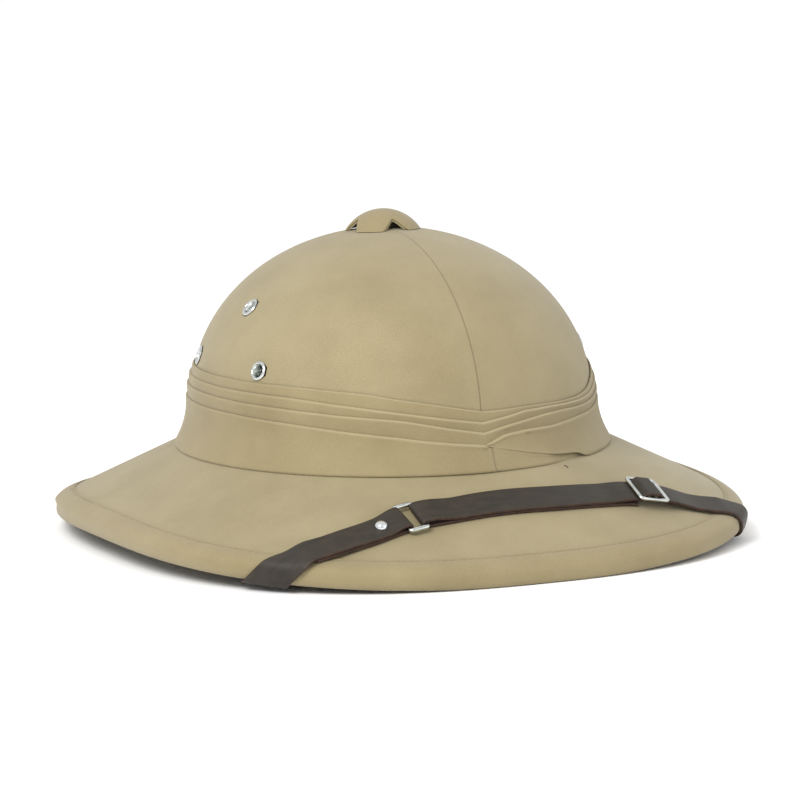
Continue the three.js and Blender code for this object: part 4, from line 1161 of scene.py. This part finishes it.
def leather(name, track, line, side):
    """Lays a strap along a line of (at, lift). side is 1 where its grain is on the line's left."""
    section = strap_section()
    across, through_it = section[:, 0][None, :], section[:, 1][None, :] * side
    slope = direction(line)
    at = line[:, :1] - slope[:, 1:] * through_it
    lift = line[:, 1:] + slope[:, :1] * through_it
    base, normal = track.place(at, np.broadcast_to(across, at.shape))
    points = base + normal * lift[..., None]
    ring = len(section)
    weave = np.stack(np.meshgrid(metres_along(line, 0), round_along(section), indexing="ij"), -1)
    rubbed = np.where(np.abs(across) > STRAP_WIDTH / 2 - 0.32, 0.3, 0.0) * np.ones_like(at)
    tags = np.ones(ring, int)
    tags[:10] = 0
    tags[[ring - 1, 10]] = 0
    shape = Shape()
    shape.grid(points, weave, wrap_cols=True, tags=tags[None, :], painted_light_and_wear=rubbed)
    for row in (0, -1):
        shape.fan(points[row], section, 1)
    return shape.piece(name, [LEATHER, LEATHER_CUT], sharp=50, weld=0.001)


def turn_around(at, lift, radius, start, stop):
    angle = np.radians(np.linspace(start, stop, 19))
    return np.stack([at + radius * np.cos(angle), lift + radius * np.sin(angle)], -1)


def layer_line(start, stop, lift_at, pitch=1.4):
    at = np.linspace(start, stop, max(int(abs(stop - start) / pitch), 2))
    return np.stack([at, lift_at(at)], -1)


def metal_loop(shape, length, width, cross, side, corner, frame):
    """A rounded bar bent into a rectangle. cross and side are each bar's width and height: the bars
    across the strap and those along it."""
    angle = full_turn(METAL_SIDES) + math.pi / METAL_SIDES
    oval = np.stack([np.cos(angle), np.sin(angle)])
    oval = np.sign(oval) * np.abs(oval) ** 0.72
    half_x, half_y = (length - cross[0]) / 2 - corner, (width - side[0]) / 2 - corner
    rows = []
    for k, (sx, sy) in enumerate([(1, 1), (-1, 1), (-1, -1), (1, -1)]):
        for a in np.linspace(k * math.pi / 2, (k + 1) * math.pi / 2, 9):
            x, y = math.cos(a), math.sin(a)
            s = corner + oval[0] * lerp(cross[0], side[0], y * y) / 2
            rise = oval[1] * lerp(cross[1], side[1], y * y) / 2
            rows.append(vec(sx * half_x + s * x, sy * half_y + s * y, rise))
    local = np.array(rows)
    around = np.linspace(0, 4 * cross[0], METAL_SIDES + 1)
    weave = np.stack(np.meshgrid(round_along(local[:, 0]), around, indexing="ij"), -1)
    shape.grid(in_frame(local, frame), weave, wrap_rows=True, wrap_cols=True)


def metal_bar(shape, width, bar, frame):
    """The slider's middle bar."""
    angle = full_turn(METAL_SIDES)
    y = np.linspace(-width / 2, width / 2, 9)[:, None]
    local = vec(bar / 2 * np.cos(angle), y, bar / 2 * np.sin(angle))
    around = np.linspace(0, math.pi * bar, METAL_SIDES + 1)
    weave = np.stack(np.meshgrid(y[:, 0], around, indexing="ij"), -1)
    shape.grid(in_frame(local, frame), weave, wrap_cols=True)
    for row in (0, -1):
        shape.fan(in_frame(local[row], frame), np.zeros((METAL_SIDES, 2)))


def strap_pieces():
    track = Track()
    turn = RING_BAR[1] / 2 + METAL_PLAY + STRAP_LEATHER / 2
    lower = STRAP_FLOAT + STRAP_LEATHER / 2
    upper = lower + STRAP_LEATHER + METAL_PLAY
    ring, slider = track.azimuth(RING_AZIMUTH), track.azimuth(SLIDER_AZIMUTH)
    ring_lift = lower + turn
    offset = (RING_LENGTH - RING_BAR[0]) / 2

    bar = ring - offset
    tip = bar - SHORT_FOLD
    climb = 11.0

    def short_upper(at):
        stacked = smooth(upper, ring_lift + turn, (at - bar + climb) / climb)
        return smooth(lower, stacked, (at - tip + climb) / climb)

    line = np.concatenate([
        layer_line(0.0, bar - 0.6, short_upper),
        turn_around(bar, ring_lift, turn, 90, -90),
        layer_line(bar - 0.6, tip + 1, lambda at: lower + 0 * at),
    ])
    short = leather("strap_short_leather", track, line, 1)

    bar = ring + offset
    half = (SLIDER_LENGTH - SLIDER_BAR[0]) / 2
    climb = 16.0
    raised = upper + SLIDER_LIFT
    slider_lift = raised + STRAP_LEATHER / 2 + METAL_PLAY + SLIDER_BAR[1] / 2
    ridge = slider_lift + SLIDER_BAR[1] / 2 + METAL_PLAY + STRAP_LEATHER / 2

    def long_upper(at):
        from_ring = smooth(ring_lift + turn, upper, (at - bar - 3) / climb)
        away = np.abs(at - slider)
        beside = smooth(raised, from_ring, (away - half * 1.1) / climb)
        past = np.where(at > slider, smooth(raised, lower, (away - half * 1.1) / (climb * 1.4)), beside)
        return smooth(ridge, past, (away - half * 0.4) / (half * 0.48))

    line = np.concatenate([
        layer_line(track.length, slider + half * 1.6, long_upper),
        layer_line(slider + half * 1.5, slider - half * 1.5, long_upper, 0.6),
        layer_line(slider - half * 1.6, bar + 0.6, long_upper),
        turn_around(bar, ring_lift, turn, 90, 270),
        layer_line(bar + 0.6, slider - half * 0.9, lambda at: lower + 0 * at),
    ])
    long = leather("strap_long_leather", track, line, -1)

    inner = STRAP_WIDTH + 2 * SIDE_PLAY
    shape = Shape()
    width = inner + 2 * RING_SIDE[0]
    metal_loop(shape, RING_LENGTH, width, RING_BAR, RING_SIDE, 1.7, track.frame(ring, ring_lift))
    ring_metal = shape.piece("strap_ring_metal", [NICKEL], sharp=50, weld=0.002)

    shape = Shape()
    place = track.frame(slider, slider_lift)
    width = inner + 2 * SLIDER_SIDE[0]
    metal_loop(shape, SLIDER_LENGTH, width, SLIDER_BAR, SLIDER_SIDE, 1.5, place)
    metal_bar(shape, width - SLIDER_SIDE[0], SLIDER_BAR[1], place)
    slider_metal = shape.piece("strap_slider_metal", [NICKEL], sharp=50, weld=0.002)

    top = track.frame(ring - RIVET_FROM_RING, upper + STRAP_LEATHER / 2 - GAP)
    angle = np.linspace(math.pi / 2, 0, 14)
    head, shank = RIVET_HEAD / 2, RIVET_SHANK / 2
    dome = [(head * math.cos(a), GAP + RIVET_DOME * math.sin(a)) for a in angle]
    dome[0] = (0.0, dome[0][1])
    low = -2 * STRAP_LEATHER - 2 * GAP
    profile = [*dome, (head - 0.12, GAP - 0.12), (shank, GAP - 0.12), (shank, low), (0, low)]
    rivet = lathe(profile, top).piece("strap_rivet_metal", [CHROME], sharp=45)
    return short, long, ring_metal, slider_metal, rivet


# Putting the pieces on the frame
eyelets = eyelet_frames()
finished(crown_piece([place for _, place in eyelets]), "cloth", "crown")
finished(brim_piece(), "cloth", "brim")
finished(hem_piece(), "cloth", "brim_binding")
finished(stitching_piece(), "cloth")
band_right, band_left = band_pieces()
finished(band_right, "cloth", "puggaree_right")
finished(band_left, "cloth", "puggaree_left")
finished(tack_piece(), "cloth")
finished(cap_piece(cap_frame()), "cloth", "vent_cap")
for node_name, place in eyelets:
    finished(eyelet_piece(node_name, place), "nickel", node_name)
strap_short, strap_long, ring_metal, slider_metal, rivet_metal = strap_pieces()
finished(strap_short, "leather", "chin_strap_short")
finished(strap_long, "leather", "chin_strap_long")
finished(ring_metal, "nickel", "strap_ring")
finished(slider_metal, "nickel", "strap_slider")
finished(rivet_metal, "nickel", "strap_rivet")
# The vent cap's post gets the nickel painted dark as painted shade
for node_name, material in (
    ("vent_cap_post", NICKEL_PAINTED_SHADE), ("strap_stud_right", NICKEL), ("strap_stud_left", NICKEL),
):
    mesh = frame["nodes"][node_name].data
    mesh.materials.clear()
    mesh.materials.append(material)


# Stage, light and camera. Lengths here are in metres and angles in degrees.
FLOOR_REACH = 40.0
FLOOR_LEVEL = -0.0004
FLOOR_COLOUR = (0.98, 0.98, 0.98, 1)
LIGHT_SIZE = 1.0
LIGHT_TARGET = (0, 0, 0.06)
CAMERA_TARGET = (0.0005, 0.003, 0.0432)
CAMERA_TURN = 23.33
CAMERA_RISE = 8.83
CAMERA_ROLL = -1.3
CAMERA_DISTANCE = 2.6714
CAMERA_SHIFT = (0.0088, 0.0470)
SENSOR_WIDTH = 36.0
# The photo shows 2.1068 pixels a millimetre at the helmet and is 800 pixels wide
CAMERA_LENS = SENSOR_WIDTH * 2.1068 * 2671.4 / 800


def stage_floor():
    look = Look("floor_pale")
    look.shader.inputs["Base Color"].default_value = FLOOR_COLOUR
    look.shader.inputs["Roughness"].default_value = 0.9
    work = bmesh.new()
    rows = (-FLOOR_REACH, -4.0, 4.0, FLOOR_REACH)
    lines = [[work.verts.new((x, y, FLOOR_LEVEL)) for x in (-FLOOR_REACH, FLOOR_REACH)] for y in rows]
    for a, b in zip(lines, lines[1:]):
        work.faces.new((a[0], a[1], b[1], b[0]))
    mesh = bpy.data.meshes.new("floor")
    work.to_mesh(mesh)
    work.free()
    mesh.polygons.foreach_set("use_smooth", np.ones(len(mesh.polygons), bool))
    mesh.materials.append(look.material)
    floor = bpy.data.objects.new("floor", mesh)
    bpy.context.scene.collection.objects.link(floor)


def area_light(name, place, power):
    """A square soft light, aimed at the helmet. place is in metres and power in watts."""
    data = bpy.data.lights.new(name, "AREA")
    data.shape = "RECTANGLE"
    data.size = data.size_y = LIGHT_SIZE
    data.energy = power
    light = bpy.data.objects.new(name, data)
    light.location = place
    light.rotation_mode = "QUATERNION"
    light.rotation_quaternion = (Vector(LIGHT_TARGET) - Vector(place)).to_track_quat("-Z", "Y")
    bpy.context.scene.collection.objects.link(light)


def studio():
    world = bpy.data.worlds.new("studio")
    bpy.context.scene.world = world
    world.use_nodes = True
    world.node_tree.nodes["Background"].inputs["Color"].default_value = (1, 1, 1, 1)
    world.node_tree.nodes["Background"].inputs["Strength"].default_value = 1.0
    area_light("key", (-1.25, -0.95, 1.35), 30)
    area_light("fill", (0.9, -1.5, 0.8), 4)


def camera():
    data = bpy.data.cameras.new("camera")
    data.sensor_width = SENSOR_WIDTH
    data.lens = CAMERA_LENS
    data.shift_x, data.shift_y = CAMERA_SHIFT
    data.clip_start, data.clip_end = 0.1, 50.0
    made = bpy.data.objects.new("camera", data)
    turn, rise = math.radians(CAMERA_TURN), math.radians(CAMERA_RISE)
    back = Vector((-math.sin(turn) * math.cos(rise), -math.cos(turn) * math.cos(rise), math.sin(rise)))
    made.location = Vector(CAMERA_TARGET) + back * CAMERA_DISTANCE
    look = (-back).to_track_quat("-Z", "Y").to_matrix()
    look = look @ Matrix.Rotation(math.radians(CAMERA_ROLL), 3, "Z")
    made.rotation_mode = "QUATERNION"
    made.rotation_quaternion = look.to_quaternion()
    bpy.context.scene.collection.objects.link(made)
    bpy.context.scene.camera = made


stage_floor()
studio()
camera()
bpy.context.scene.view_settings.view_transform = "Standard"
